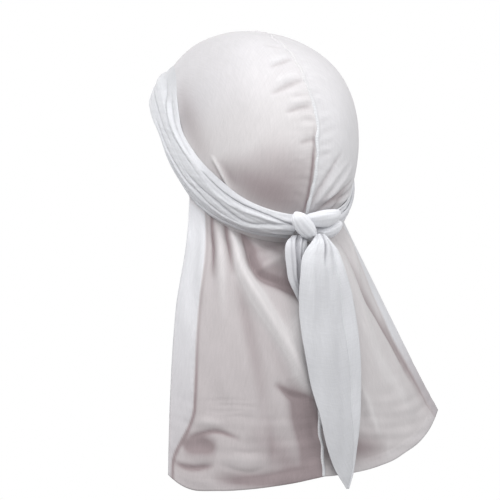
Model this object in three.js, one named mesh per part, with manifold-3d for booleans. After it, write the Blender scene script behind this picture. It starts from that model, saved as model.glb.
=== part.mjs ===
// A durag in its tied form: two cloth panels sewn along one centre seam, each panel half of the crown
// and half of the cape that hangs behind it; two strap wraps around the crown's edge, one lying on the
// other; the knot low at the back; and the two loose tie ends below it.
// Millimetres. +Z is up, the open front faces -Y, +X is the durag's left side.
// The origin is the inside of the crown at its top.
import * as THREE from "three";
import Module from "manifold-3d";

const wasm = await Module();
wasm.setup();

// Crown form, measured to the outside of the cloth from a centre halfway down the sides.
const CROWN_HALF_WIDTH = 80;
const CROWN_BACK = 101;
const CROWN_FRONT = 92;
const CROWN_HEIGHT = 88;
const CROWN_DEPTH = 108;
const CROWN_FULLNESS = 2.25; // 2 is an ellipsoid, more is squarer

// Cloth and sewing.
const CLOTH = 1.4;
const CLEARANCE = 0.3; // between pieces that are sewn or lie on each other
const SEAM_WIDTH = 5;
const SEAM_HEIGHT = 1.3;
const SIDE_HEM = 19;
const BOTTOM_HEM = 8;
const HEM_RISE = 0.7; // how far the doubled hem stands proud
const PUCKER_RISE = 1.5;
const PUCKER_LENGTH = 30;
const PUCKER_PITCH = 24; // along the seam
const PUCKERS_FROM = 0.45; // of the crown's length from front to knot
const PUCKERS_TO = 0.88;
const SEAM_SWAY = 10; // how far the seam lies to the left over the top of the crown
const SWAY_FROM = 0.35; // of the crown's length: the whole sway from here
const SWAY_UNTIL = 0.55; // to here
const SWAY_END = 0.8; // and none from here to the knot

// Cape.
const CAPE_LENGTH = 203;
const CAPE_HALF_WIDTH = 130;
const CAPE_BACK = 109; // how far behind the crown's centre the hem's middle hangs
const TUCK = 21; // cloth held flat under the lower half of the wraps
const FOLD_DEPTH = 5;

// Straps.
const INNER_WRAP_WIDTH = 27;
const INNER_WRAP_THICKNESS = 1.8;
const OUTER_WRAP_WIDTH = 27;
const OUTER_WRAP_THICKNESS = 2.3;
const WRAP_SHIFT = 3.5; // how far each wrap lies off the middle of the pair
const WRAP_DROOP = 4; // how much further the inner wrap hangs down along the sides
const WRAP_SPREAD = 18; // how much further the outer wrap spreads up over the left temple
const KNOT_WIDTH = 46;
const KNOT_HEIGHT = 30;
const KNOT_DEPTH = 19;
const KNOT_RIGHT = 4.5; // the knot's middle lies this far to the right of the seam
const KNOT_RISE = 6; // and this far up the crown from the wraps' middle line
const LONG_END_LENGTH = 207;
const LONG_END_WIDTH = 53;
const SHORT_END_LENGTH = 66;
const SHORT_END_WIDTH = 26;
const END_THICKNESS = 3;
const END_STAND_OFF = 20; // how far the tie ends stand off the cape as they leave the knot

// The line that the wraps follow, as angles about the crown's side-to-side axis: 0 points straight
// back, 90 straight up.
const FRONT_ANGLE = 154;
const SIDE_FRONT_ANGLE = 126;
const KNOT_ANGLE = -46;
const SIDE_BACK_ANGLE = SIDE_FRONT_ANGLE - 180;
const CAPE_CORNER = 66; // degrees round from the seam to where the cape's side edge starts
const CAPE_TOP = 55; // the same, where the cape comes out below the wraps
const SIDE_END = 85; // degrees round from the seam to the panel's side edge

const QUARTER_ROUND = 90; // degrees from the seam to the side

const rad = (degrees) => (degrees * Math.PI) / 180;
const mix = (a, b, share) => a + (b - a) * share;
const clamp = (x) => Math.min(1, Math.max(0, x));
const smooth = (x) => clamp(x) ** 2 * (3 - 2 * clamp(x));
const bell = (x) => Math.exp(-x * x);
const centre = new THREE.Vector3(0, 0, CLOTH - CROWN_HEIGHT);

// Crown form: a squared-off ellipsoid whose four radii differ.
function onForm(direction) {
  const d = direction.clone().normalize();
  const deep = d.y > 0 ? CROWN_BACK : CROWN_FRONT;
  const tall = d.z > 0 ? CROWN_HEIGHT : CROWN_DEPTH;
  const sum =
    Math.abs(d.x / CROWN_HALF_WIDTH) ** CROWN_FULLNESS +
    Math.abs(d.y / deep) ** CROWN_FULLNESS +
    Math.abs(d.z / tall) ** CROWN_FULLNESS;
  return d.multiplyScalar(sum ** (-1 / CROWN_FULLNESS)).add(centre);
}

function formNormal(point) {
  const p = point.clone().sub(centre);
  const slope = (x, radius) => (Math.sign(x) * Math.abs(x / radius) ** (CROWN_FULLNESS - 1)) / radius;
  return new THREE.Vector3(
    slope(p.x, CROWN_HALF_WIDTH),
    slope(p.y, p.y > 0 ? CROWN_BACK : CROWN_FRONT),
    slope(p.z, p.z > 0 ? CROWN_HEIGHT : CROWN_DEPTH),
  ).normalize();
}

// round: degrees from the seam towards the left side. over: the angle about the side-to-side axis.
function fanDirection(round, over) {
  const [r, o] = [rad(round), rad(over)];
  return new THREE.Vector3(Math.sin(r), Math.cos(r) * Math.cos(o), Math.cos(r) * Math.sin(o));
}
const EDGE_SOFTNESS = 0.2; // rounds the wraps' line off where it crosses the seam
const towardSide = (round) =>
  (Math.hypot(round / QUARTER_ROUND, EDGE_SOFTNESS) - EDGE_SOFTNESS) /
  (Math.hypot(1, EDGE_SOFTNESS) - EDGE_SOFTNESS);
const frontAngle = (round) => mix(FRONT_ANGLE, SIDE_FRONT_ANGLE, towardSide(round));
const backAngle = (round) => mix(KNOT_ANGLE, SIDE_BACK_ANGLE, towardSide(round));

// The wraps' middle line on the form. along: -1 below the knot, 0 at the side, 1 at the front.
function wrapLine(along) {
  const round = QUARTER_ROUND * (1 - Math.abs(along));
  return onForm(fanDirection(round, along > 0 ? frontAngle(round) : backAngle(round)));
}

// A point on the form, up (or down) from the wraps' middle line by a distance along the cloth.
function besideWrapLine(along, up) {
  const p = wrapLine(along);
  const step = 0.01;
  const ahead = wrapLine(Math.min(1, along + step)).sub(wrapLine(Math.max(-1, along - step)));
  const across = ahead.cross(formNormal(p)).normalize();
  return onForm(p.addScaledVector(across, up).sub(centre));
}

// Panels: rows of points, joined row to row into one sheet, then given the cloth's thickness.

// Small gathers beside the seam over the back of the crown, where its stitches draw the cloth in.
// They are fainter on the right.
const crownRise = (CROWN_BACK + CROWN_HEIGHT) / 2;
function puckerHeight(side, share, over, distance) {
  const wave = (rad(over) * crownRise) / PUCKER_PITCH;
  const ridge = bell(((wave - Math.round(wave)) * PUCKER_PITCH) / (PUCKER_PITCH / 5));
  const fade = smooth(distance / SEAM_WIDTH - 0.6) * bell((distance / PUCKER_LENGTH) * 1.5);
  const stretch = smooth((share - PUCKERS_FROM) / 0.1) * smooth((PUCKERS_TO - share) / 0.1);
  return (side > 0 ? 1 : 0.4) * PUCKER_RISE * ridge * fade * stretch;
}

// The seam isn't straight over the crown: the cloth lies shifted to the left over its top, less and
// less towards the sides.
const seamSway = (share) =>
  SEAM_SWAY * smooth(share / SWAY_FROM) * smooth((SWAY_END - share) / (SWAY_END - SWAY_UNTIL));
const swayed = (x, sway) => x + sway * (1 - (x / CROWN_HALF_WIDTH) ** 2) ** 2;

function crownPoint(side, share, round) {
  const over = mix(frontAngle(round), backAngle(round), share);
  const p = onForm(fanDirection(round, over));
  return p.addScaledVector(formNormal(p), puckerHeight(side, share, over, p.x));
}

// Cape sections below the tuck. drop and rise are shares of the cape's length (rise lifts the side
// edge, sag lowers the middle of the half, corner rounds the hem's corner), spread of its half width,
// middle and edge of its distance behind the centre, and round is 1 for a quarter circle in plan.
const LEFT_SECTIONS = [
  { drop: 0.17, spread: 0.65, middle: 0.72, edge: 0.32, rise: 0.1, sag: 0, corner: 0, round: 0.7 },
  { drop: 0.39, spread: 0.77, middle: 0.83, edge: 0.41, rise: 0.06, sag: 0, corner: 0, round: 0.45 },
  { drop: 0.7, spread: 0.88, middle: 0.93, edge: 0.55, rise: 0.05, sag: 0.02, corner: 0, round: 0.25 },
  { drop: 1, spread: 0.985, middle: 1, edge: 0.73, rise: 0.03, sag: 0.05, corner: 0.05, round: 0.15 },
];
const RIGHT_SECTIONS = [
  { drop: 0.17, spread: 0.61, middle: 0.72, edge: 0.3, rise: 0.13, sag: 0, corner: 0, round: 0.75 },
  { drop: 0.39, spread: 0.75, middle: 0.83, edge: 0.4, rise: 0.14, sag: 0, corner: 0, round: 0.45 },
  { drop: 0.7, spread: 0.91, middle: 0.93, edge: 0.55, rise: 0.18, sag: 0, corner: 0, round: 0.3 },
  { drop: 1, spread: 1.11, middle: 1, edge: 0.66, rise: 0.195, sag: 0, corner: 0.025, round: 0.2 },
];

// Folds that run down the cape: where each would cross the top and the bottom of the half, its height
// as a share of the fold depth (below 0 is a valley), its width at the top and bottom, and the stretch
// down the cape where it shows.
const LEFT_FOLDS = [
  { top: 0.73, bottom: 0.9, height: -0.55, narrow: 0.05, wide: 0.05, from: -1, until: 0.8 },
  { top: 0.68, bottom: 0.7, height: 0.45, narrow: 0.05, wide: 0.13, from: -1, until: 1 },
  { top: 0.59, bottom: 0.3, height: -0.4, narrow: 0.05, wide: 0.1, from: -1, until: 0.8 },
  { top: 0.52, bottom: 0.33, height: 0.9, narrow: 0.06, wide: 0.13, from: -1, until: 1 },
  { top: 0.43, bottom: -0.15, height: -0.7, narrow: 0.07, wide: 0.09, from: -1, until: 0.65 },
  { top: 0.62, bottom: -0.2, height: 0.55, narrow: 0.06, wide: 0.1, from: 0.1, until: 0.85 },
];
const RIGHT_FOLDS = [
  { top: 0.49, bottom: 1, height: -0.7, narrow: 0.085, wide: 0.085, from: -1, until: 1.2 },
  { top: 0.62, bottom: 0.74, height: 0.4, narrow: 0.07, wide: 0.12, from: -1, until: 1 },
  { top: 0.4, bottom: 0.6, height: -0.35, narrow: 0.07, wide: 0.1, from: -1, until: 1 },
  { top: 0.2, bottom: 0.45, height: 0.6, narrow: 0.07, wide: 0.08, from: 0.2, until: 1.2 },
];

const knotSeat = wrapLine(-1);

// The cloth held under the wraps. down: 0 on the wraps' middle line, 1 below their lower edge.
function tuckPoint(across, down) {
  return besideWrapLine((across * mix(CAPE_CORNER, CAPE_TOP, down)) / QUARTER_ROUND - 1, -TUCK * down);
}

function sectionPoint(section, across) {
  const spread = CAPE_HALF_WIDTH * section.spread;
  const [middle, edge] = [CAPE_BACK * section.middle, CAPE_BACK * section.edge];
  const z =
    knotSeat.z +
    CAPE_LENGTH *
      (section.rise * across ** 2.2 - section.drop - section.sag * Math.sin((Math.PI / 1.7) * across) +
        section.corner * clamp((across - 0.8) / 0.2) ** 2);
  const turn = (across * Math.PI) / 2;
  return new THREE.Vector3(
    spread * mix(across, Math.sin(turn), section.round),
    mix(mix(middle, edge, across ** 2), mix(edge, middle, Math.cos(turn)), section.round),
    z,
  );
}

// The cape without folds. across: 0 at the seam, 1 at the side edge. down: 0 at the wraps' lower
// edge, 1 at the bottom hem. A smooth curve runs down through the sections.
function smoothCape(sections, across, down) {
  const knots = [tuckPoint(across, 1), ...sections.map((s) => sectionPoint(s, across))];
  const at = [0, ...sections.map((s) => s.drop)];
  let i = at.findIndex((a) => a >= down) - 1;
  i = i < 0 ? (down <= 0 ? 0 : at.length - 2) : i;
  const span = at[i + 1] - at[i];
  const share = (down - at[i]) / span;
  const slope = (k) => {
    const [lo, hi] = [Math.max(0, k - 1), Math.min(at.length - 1, k + 1)];
    return knots[hi].clone().sub(knots[lo]).multiplyScalar(span / (at[hi] - at[lo]));
  };
  const [s2, s3] = [share ** 2, share ** 3];
  return knots[i]
    .clone()
    .multiplyScalar(2 * s3 - 3 * s2 + 1)
    .addScaledVector(slope(i), s3 - 2 * s2 + share)
    .addScaledVector(knots[i + 1], 3 * s2 - 2 * s3)
    .addScaledVector(slope(i + 1), s3 - s2);
}

function foldHeight(folds, across, down) {
  const sum = folds.reduce((total, f) => {
    const place = (across - mix(f.top, f.bottom, down)) / mix(f.narrow, f.wide, down);
    return total + f.height * bell(place) * smooth((f.until - down) / 0.25) * smooth((down - f.from) / 0.15);
  }, 0);
  return FOLD_DEPTH * sum * smooth(down / 0.15) * smooth(across / 0.06) * smooth((1 - across) / 0.1);
}

// The doubled side and bottom hems stand proud of the single cloth.
function hemHeight(across, down) {
  const inside = Math.min((1 - across) * CAPE_HALF_WIDTH - SIDE_HEM, (1 - down) * CAPE_LENGTH - BOTTOM_HEM);
  return HEM_RISE * smooth(-inside / 3) * smooth(down / 0.06) * smooth(across / 0.06);
}

function capePoint(side, across, down) {
  const [sections, folds] = side > 0 ? [LEFT_SECTIONS, LEFT_FOLDS] : [RIGHT_SECTIONS, RIGHT_FOLDS];
  const p = smoothCape(sections, across, down);
  const step = 0.02;
  const ahead = smoothCape(sections, Math.min(1, across + step), down);
  const tangent = ahead.sub(smoothCape(sections, Math.max(0, across - step), down));
  const out = new THREE.Vector3(-tangent.y, tangent.x, 0).normalize();
  return p.addScaledVector(out, foldHeight(folds, across, down) + hemHeight(across, down));
}

const CROWN_ROWS = 46;
const TUCK_ROWS = 2;
const CAPE_ROWS = 16;
const CROWN_COLUMNS = [0, 2.2, 5, 9, 15, 24, 35, 50, CAPE_CORNER, 76, SIDE_END];
const CAPE_COLUMNS = 19;

function panelRows(side) {
  const rows = [];
  for (let i = 0; i <= CROWN_ROWS; i++)
    rows.push(
      CROWN_COLUMNS.map((round) => ({
        at: round,
        p: crownPoint(side, i / CROWN_ROWS, round),
        sway: seamSway(i / CROWN_ROWS),
      })),
    );
  const capeRow = (place) =>
    Array.from({ length: CAPE_COLUMNS + 1 }, (_, j) => ({
      at: (j / CAPE_COLUMNS) * CAPE_CORNER,
      p: place(j / CAPE_COLUMNS),
      sway: 0,
    }));
  for (let i = 1; i < TUCK_ROWS; i++)
    rows.push(capeRow((v) => tuckPoint(v, i / TUCK_ROWS)));
  for (let i = 0; i <= CAPE_ROWS; i++) rows.push(capeRow((v) => capePoint(side, v, i / CAPE_ROWS)));
  return rows;
}

// Triangles between two rows that may have different numbers of points. A longer row's far end,
// past the shorter row's last point, stays an open edge.
function zip(a, b) {
  const faces = [];
  const last = Math.min(a[a.length - 1].at, b[b.length - 1].at) + 1e-6;
  let [i, j] = [0, 0];
  const next = (row, k) => (k + 1 < row.length && row[k + 1].at <= last ? row[k + 1].at : Infinity);
  while (next(a, i) < Infinity || next(b, j) < Infinity) {
    if (next(a, i) <= next(b, j)) {
      faces.push([a[i].index, a[i + 1].index, b[j].index]);
      i++;
    } else {
      faces.push([a[i].index, b[j + 1].index, b[j].index]);
      j++;
    }
  }
  return faces;
}

function geometryOf(points, faces) {
  return new THREE.BufferGeometry()
    .setAttribute("position", new THREE.Float32BufferAttribute(points.flatMap((p) => p.toArray()), 3))
    .setIndex(faces.flat());
}

// One cloth panel. Its seam edge stays in a plane just off the middle, so the two panels meet there.
function panelGeometry(side) {
  const rows = panelRows(side);
  const cells = rows.flat();
  const points = cells.map((cell, index) => {
    cell.index = index;
    return cell.p;
  });
  const onSeam = new Set(rows.map((row) => row[0].index));
  const faces = rows.slice(1).flatMap((row, i) => zip(rows[i], row));
  const normals = points.map(() => new THREE.Vector3());
  for (const [a, b, c] of faces) {
    const n = points[b].clone().sub(points[a]).cross(points[c].clone().sub(points[a]));
    for (const k of [a, b, c]) normals[k].add(n);
  }
  normals.forEach((n, k) => {
    if (onSeam.has(k)) n.x = 0;
    n.normalize();
  });
  const inner = points.map((p, k) => p.clone().addScaledVector(normals[k], -CLOTH));
  const edges = new Map();
  for (const [a, b, c] of faces)
    for (const [m, n] of [[a, b], [b, c], [c, a]]) {
      if (edges.has(`${n},${m}`)) edges.delete(`${n},${m}`);
      else edges.set(`${m},${n}`, [m, n]);
    }
  const count = points.length;
  const rim = [...edges.values()].flatMap(([m, n]) => [[n, m, m + count], [n, m + count, n + count]]);
  const back = faces.map(([a, b, c]) => [a + count, c + count, b + count]);
  const all = [...points, ...inner];
  all.forEach((p, k) => {
    if (onSeam.has(k % count)) p.x = 0;
    p.x = swayed(side * (Math.max(p.x, 0) + CLEARANCE / 2), cells[k % count].sway);
  });
  const shell = [...faces, ...back, ...rim];
  return geometryOf(all, side > 0 ? shell : shell.map(([a, b, c]) => [a, c, b]));
}

// A closed tube through rings of points, all of one length, with flat ends.
function loft(rings) {
  const size = rings[0].length;
  const points = rings.flat();
  const faces = [];
  for (let i = 0; i + 1 < rings.length; i++)
    for (let j = 0; j < size; j++) {
      const [a, b] = [i * size + j, i * size + ((j + 1) % size)];
      faces.push([a, b, b + size], [a, b + size, a + size]);
    }
  const lid = (ring, first, flip) => {
    const middle = ring.reduce((sum, p) => sum.add(p), new THREE.Vector3()).divideScalar(size);
    points.push(middle);
    for (let j = 0; j < size; j++) {
      const [a, b] = [first + j, first + ((j + 1) % size)];
      faces.push(flip ? [points.length - 1, b, a] : [points.length - 1, a, b]);
    }
  };
  lid(rings[0], 0, true);
  lid(rings[rings.length - 1], (rings.length - 1) * size, false);
  return geometryOf(points, faces);
}

// A geometry as a solid, turned right side out, for joining and cutting.
function solidOf(geometry) {
  const vertProperties = new Float32Array(geometry.getAttribute("position").array);
  const triVerts = new Uint32Array(geometry.index.array);
  const solid = new wasm.Manifold(new wasm.Mesh({ numProp: 3, vertProperties, triVerts }));
  if (solid.volume() > 0) return solid;
  for (let i = 0; i < triVerts.length; i += 3)
    [triVerts[i + 1], triVerts[i + 2]] = [triVerts[i + 2], triVerts[i + 1]];
  return new wasm.Manifold(new wasm.Mesh({ numProp: 3, vertProperties, triVerts }));
}

function geometryFrom(solid) {
  const { vertProperties, triVerts, numProp } = solid.getMesh();
  const position = Array.from({ length: vertProperties.length / numProp }, (_, i) =>
    new THREE.Vector3(...vertProperties.subarray(i * numProp, i * numProp + 3)),
  );
  const faces = [];
  for (let i = 0; i < triVerts.length; i += 3) faces.push([...triVerts.subarray(i, i + 3)]);
  return geometryOf(position, faces);
}

// The seam allowance stands on the outside as a narrow ridge, from the front of the wraps over the crown
// and, under the knot, down the cape to its hem.
const SEAM_ROWS = 46;
const SEAM_START = 0.065; // of the crown's length, just behind the wraps
function seamGeometry() {
  const line = [];
  for (let i = 0; i <= SEAM_ROWS; i++) {
    const share = mix(SEAM_START, 1, i / SEAM_ROWS);
    line.push(crownPoint(1, share, 0).setX(seamSway(share)));
  }
  line.push(tuckPoint(0, 0.5));
  for (let i = 0; i <= CAPE_ROWS; i++) line.push(capePoint(1, 0, i / CAPE_ROWS));
  const half = SEAM_WIDTH / 2;
  const rings = line.map((p, i) => {
    const ahead = line[Math.min(line.length - 1, i + 1)].clone().sub(line[Math.max(0, i - 1)]).normalize();
    const out = new THREE.Vector3(1, 0, 0).cross(ahead).normalize();
    const at = (x, up) => p.clone().setX(p.x + x).addScaledVector(out, up);
    const foot = CLEARANCE * 2;
    return [at(-half, foot), at(half, foot), at(half, foot + SEAM_HEIGHT * 0.6), at(0, foot + SEAM_HEIGHT),
      at(-half, foot + SEAM_HEIGHT * 0.6)];
  });
  return loft(rings);
}

// Wraps. Their pleats are ridges across the width: where each lies (-1 lower edge, 1 upper edge), how
// high it stands as a share of the wrap's thickness and how wide it is as a share of the width.
const INNER_PLEATS = [
  { place: -0.82, rise: 0.45, width: 0.14 },
  { place: -0.45, rise: 0.55, width: 0.16 },
  { place: 0.4, rise: 0.4, width: 0.3 },
];
const OUTER_PLEATS = [
  { place: -0.78, rise: 0.5, width: 0.15 },
  { place: -0.4, rise: 0.35, width: 0.18 },
  { place: 0.18, rise: 0.55, width: 0.34 },
  { place: 0.8, rise: 0.5, width: 0.12 },
];
const WRAP_STATIONS = 54;
const WRAP_POINTS = 9;

// Both wraps narrow where they run into the knot.
const wrapNarrowing = (along) => mix(0.68, 1, smooth((along + 1) / 0.55));

// The signed distance up from the middle line to a wrap's own middle. The two wraps cross at the
// front, so each lies higher on one side than on the other.
const wrapMiddle = (turn, sign) => sign * WRAP_SHIFT * Math.cos(turn * Math.PI);
const wrapDroop = (along, sign) => (sign < 0 ? WRAP_DROOP * bell((along + 0.5) / 0.24) : 0);
const wrapSpread = (along, sign, side) =>
  sign > 0 && side > 0 ? WRAP_SPREAD * bell((along - 0.36) / 0.27) : 0;

function innerTop(up, turn, along) {
  const half = (INNER_WRAP_WIDTH / 2) * wrapNarrowing(along);
  const beyond = up - wrapMiddle(turn, -1) - half;
  return (CLEARANCE + INNER_WRAP_THICKNESS * 1.05) * smooth((6 - beyond) / 5);
}

// turn: 0 at the knot on the left side, 0.5 at the front, 1 at the knot on the right side.
function wrapGeometry({ sign, width, thickness, pleats, footOf }) {
  const rings = [];
  for (let i = 0; i <= WRAP_STATIONS; i++) {
    const turn = mix(0.012, 0.988, i / WRAP_STATIONS);
    const side = turn <= 0.5 ? 1 : -1;
    const along = 1 - 4 * Math.abs(turn - 0.5);
    const half = (width / 2) * wrapNarrowing(along);
    const middle = wrapMiddle(turn, sign);
    const at = (place, high) => {
      const extra = place < 0 ? wrapDroop(along, sign) : wrapSpread(along, sign, side);
      const up = middle + place * (half + extra);
      const p = besideWrapLine(along, up);
      p.addScaledVector(formNormal(p), footOf(up, turn, along) + high);
      p.x *= side;
      return p;
    };
    const body = (place) => {
      const ridges = pleats.reduce((s, q) => s + q.rise * bell((place - q.place) / q.width), 0);
      return thickness * Math.min(1, 0.45 + ridges) * Math.sqrt(1 - Math.abs(place) ** 6 * 0.75);
    };
    const places = Array.from({ length: WRAP_POINTS }, (_, k) => mix(-1, 1, k / (WRAP_POINTS - 1)));
    const outside = places.map((place) => at(place, body(place)));
    const inside = [1, 0.35, -0.35, -1].map((place) => at(place * 0.99, 0));
    rings.push([...outside, ...inside]);
  }
  return loft(rings);
}

// The knot and the tie ends are strands: a smooth line through a few places, with an oval section.
// A strand's table has the place, the half width and half thickness there, and the direction out.
function strandGeometry(stations, steps, sides, grow = 0) {
  const curve = new THREE.CatmullRomCurve3(stations.map((s) => s.p), false, "centripetal");
  const rings = [];
  for (let i = 0; i <= steps; i++) {
    const where = (i / steps) * (stations.length - 1);
    const k = Math.min(stations.length - 2, Math.floor(where));
    const share = smooth(where - k);
    const [a, b] = [stations[k], stations[k + 1]];
    const p = curve.getPoint(i / steps);
    const ahead = curve.getTangent(i / steps);
    const wide = new THREE.Vector3().crossVectors(ahead, a.out.clone().lerp(b.out, share)).normalize();
    const out = new THREE.Vector3().crossVectors(wide, ahead).normalize();
    if (i === 0) p.addScaledVector(ahead, -grow);
    if (i === steps) p.addScaledVector(ahead, grow);
    const [w, t] = [mix(a.wide, b.wide, share) + grow, mix(a.thick, b.thick, share) + grow];
    rings.push(
      Array.from({ length: sides }, (_, j) => {
        const turn = (j / sides) * 2 * Math.PI;
        const oval = (x) => Math.sign(x) * Math.abs(x) ** 0.8;
        return p
          .clone()
          .addScaledVector(wide, w * oval(Math.cos(turn)))
          .addScaledVector(out, t * oval(Math.sin(turn)));
      }),
    );
  }
  return loft(rings);
}

// Knot: places are shares of its half width (to the left), half height (up the crown) and depth (out
// from the crown), from its middle. wide and thick are shares of its height and depth.
const knotOut = formNormal(knotSeat);
const knotUp = new THREE.Vector3(1, 0, 0).cross(knotOut);
const knotMiddle = besideWrapLine(-1, KNOT_RISE).add(new THREE.Vector3(-KNOT_RIGHT, 0, 0));
const knotFoot = SEAM_HEIGHT + CLEARANCE * 3;
const knotPlace = ([x, up, out]) =>
  knotMiddle
    .clone()
    .add(new THREE.Vector3((x * KNOT_WIDTH) / 2, 0, 0))
    .addScaledVector(knotUp, (up * KNOT_HEIGHT) / 2)
    .addScaledVector(knotOut, knotFoot + out * KNOT_DEPTH);
const KNOT_STRANDS = [
  // The loop that bulges across the top, from the strap that comes in from the right.
  [
    { place: [-0.86, 0.5, 0.3], wide: 0.27, thick: 0.22 },
    { place: [-0.45, 0.62, 0.5], wide: 0.35, thick: 0.34 },
    { place: [0.1, 0.6, 0.45], wide: 0.33, thick: 0.3 },
    { place: [0.62, 0.5, 0.32], wide: 0.24, thick: 0.22 },
  ],
  // The strap that folds over it, from the upper left to the lower right.
  [
    { place: [0.84, 0.66, 0.3], wide: 0.2, thick: 0.2 },
    { place: [0.66, 0.42, 0.56], wide: 0.27, thick: 0.22 },
    { place: [0.3, -0.1, 0.66], wide: 0.28, thick: 0.24 },
    { place: [-0.02, -0.62, 0.5], wide: 0.27, thick: 0.24 },
    { place: [-0.16, -0.86, 0.3], wide: 0.22, thick: 0.2 },
  ],
];
function knotSolid(grow) {
  return KNOT_STRANDS.map((rows) =>
    solidOf(
      strandGeometry(
        rows.map((r) => ({
          p: knotPlace(r.place),
          wide: r.wide * KNOT_HEIGHT,
          thick: r.thick * KNOT_DEPTH,
          out: knotOut,
        })),
        10,
        10,
        grow,
      ),
    ),
  ).reduce((sum, s) => sum.add(s));
}

// Tie ends hang from under the knot, close behind the cape's outside. across is a share of the knot's
// width to the left of the knot's middle, drop of the end's length, lift of the stand-off.
const LONG_END = [
  { drop: 0, across: -0.1, lift: 1.05, wide: 0.1, thick: 2.2 },
  { drop: 0.05, across: -0.11, lift: 1.15, wide: 0.22, thick: 2 },
  { drop: 0.11, across: -0.12, lift: 0.9, wide: 0.36, thick: 1.7 },
  { drop: 0.22, across: -0.11, lift: 0.63, wide: 0.46, thick: 1.1 },
  { drop: 0.4, across: -0.1, lift: 0.53, wide: 0.5, thick: 0.9 },
  { drop: 0.57, across: -0.14, lift: 0.5, wide: 0.48, thick: 0.9 },
  { drop: 0.77, across: -0.19, lift: 0.48, wide: 0.35, thick: 0.9 },
  { drop: 0.94, across: -0.25, lift: 0.45, wide: 0.15, thick: 0.9 },
  { drop: 1, across: -0.26, lift: 0.45, wide: 0.03, thick: 0.5 },
];
const SHORT_END = [
  { drop: 0, across: 0.12, lift: 0.85, wide: 0.17, thick: 1.5 },
  { drop: 0.13, across: 0.22, lift: 0.85, wide: 0.32, thick: 1.4 },
  { drop: 0.36, across: 0.25, lift: 0.5, wide: 0.46, thick: 1 },
  { drop: 0.58, across: 0.22, lift: 0.33, wide: 0.5, thick: 0.9 },
  { drop: 0.82, across: 0.17, lift: 0.25, wide: 0.34, thick: 0.8 },
  { drop: 1, across: 0.15, lift: 0.23, wide: 0.05, thick: 0.5 },
];
function endGeometry(table, start, length, width) {
  const top = capePoint(1, 0, 0);
  return strandGeometry(
    table.map((row) => {
      const z = start - row.drop * length;
      const cape = z > top.z ? top : capePoint(1, 0, (knotSeat.z - z) / CAPE_LENGTH);
      return {
        p: new THREE.Vector3(knotMiddle.x + row.across * KNOT_WIDTH, cape.y + row.lift * END_STAND_OFF, z),
        wide: row.wide * width,
        thick: (row.thick * END_THICKNESS) / 2,
        out: new THREE.Vector3(0, 1, 0),
      };
    }),
    22,
    8,
  );
}

// Materials: the same pale cloth, single in the panels and doubled in the straps.
const clothMaterial = (color) =>
  new THREE.MeshStandardMaterial({ color, roughness: 0.9, metalness: 0, side: THREE.DoubleSide });
const panelCloth = clothMaterial(0xd9d6d8);
const strapCloth = clothMaterial(0xdfe1e6);
const seamCloth = clothMaterial(0xe4e3e6);

const durag = new THREE.Group();
function piece(name, geometry, material) {
  const mesh = new THREE.Mesh(geometry, material);
  mesh.name = name;
  durag.add(mesh);
}

const knot = knotSolid(0);
const aroundKnot = knotSolid(CLEARANCE);
const clearOfKnot = (geometry) => {
  const bodies = solidOf(geometry).subtract(aroundKnot).decompose();
  return geometryFrom(bodies.reduce((big, b) => (b.volume() > big.volume() ? b : big)));
};

piece("left_panel", panelGeometry(1), panelCloth);
piece("right_panel", panelGeometry(-1), panelCloth);
piece("centre_seam", clearOfKnot(seamGeometry()), seamCloth);
piece(
  "inner_wrap",
  clearOfKnot(
    wrapGeometry({
      sign: -1,
      width: INNER_WRAP_WIDTH,
      thickness: INNER_WRAP_THICKNESS,
      pleats: INNER_PLEATS,
      footOf: () => CLEARANCE * 2.2,
    }),
  ),
  strapCloth,
);
piece(
  "outer_wrap",
  clearOfKnot(
    wrapGeometry({
      sign: 1,
      width: OUTER_WRAP_WIDTH,
      thickness: OUTER_WRAP_THICKNESS,
      pleats: OUTER_PLEATS,
      footOf: (up, turn, along) => CLEARANCE * 3 + innerTop(up, turn, along),
    }),
  ),
  strapCloth,
);
piece("knot", geometryFrom(knot), strapCloth);
const longStart = knotMiddle.z - 0.35 * KNOT_HEIGHT;
const shortStart = knotMiddle.z - 0.4 * KNOT_HEIGHT;
piece(
  "long_end",
  clearOfKnot(endGeometry(LONG_END, longStart, LONG_END_LENGTH, LONG_END_WIDTH)),
  strapCloth,
);
piece(
  "short_end",
  clearOfKnot(endGeometry(SHORT_END, shortStart, SHORT_END_LENGTH, SHORT_END_WIDTH)),
  strapCloth,
);

export default durag;
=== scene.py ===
# %% [markdown]
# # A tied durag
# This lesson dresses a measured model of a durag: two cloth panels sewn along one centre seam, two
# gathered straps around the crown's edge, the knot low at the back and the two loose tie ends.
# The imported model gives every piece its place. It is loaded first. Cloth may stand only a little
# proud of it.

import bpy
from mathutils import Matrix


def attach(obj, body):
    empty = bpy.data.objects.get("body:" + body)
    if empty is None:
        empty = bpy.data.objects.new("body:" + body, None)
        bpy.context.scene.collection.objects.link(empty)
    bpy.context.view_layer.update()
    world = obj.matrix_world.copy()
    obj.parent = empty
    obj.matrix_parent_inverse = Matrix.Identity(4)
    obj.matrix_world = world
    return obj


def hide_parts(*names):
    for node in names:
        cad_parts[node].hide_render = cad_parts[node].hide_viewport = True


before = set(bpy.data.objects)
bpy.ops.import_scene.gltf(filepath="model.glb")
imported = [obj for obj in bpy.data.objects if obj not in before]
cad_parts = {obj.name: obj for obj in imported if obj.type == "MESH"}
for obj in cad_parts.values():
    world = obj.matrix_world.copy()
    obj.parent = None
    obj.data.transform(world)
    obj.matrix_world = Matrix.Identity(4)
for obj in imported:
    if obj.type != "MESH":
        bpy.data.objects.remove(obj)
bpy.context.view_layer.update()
print("measured model:", sorted(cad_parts))

import bpy
import numpy as np
from mathutils import Vector

MM = 0.001

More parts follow.
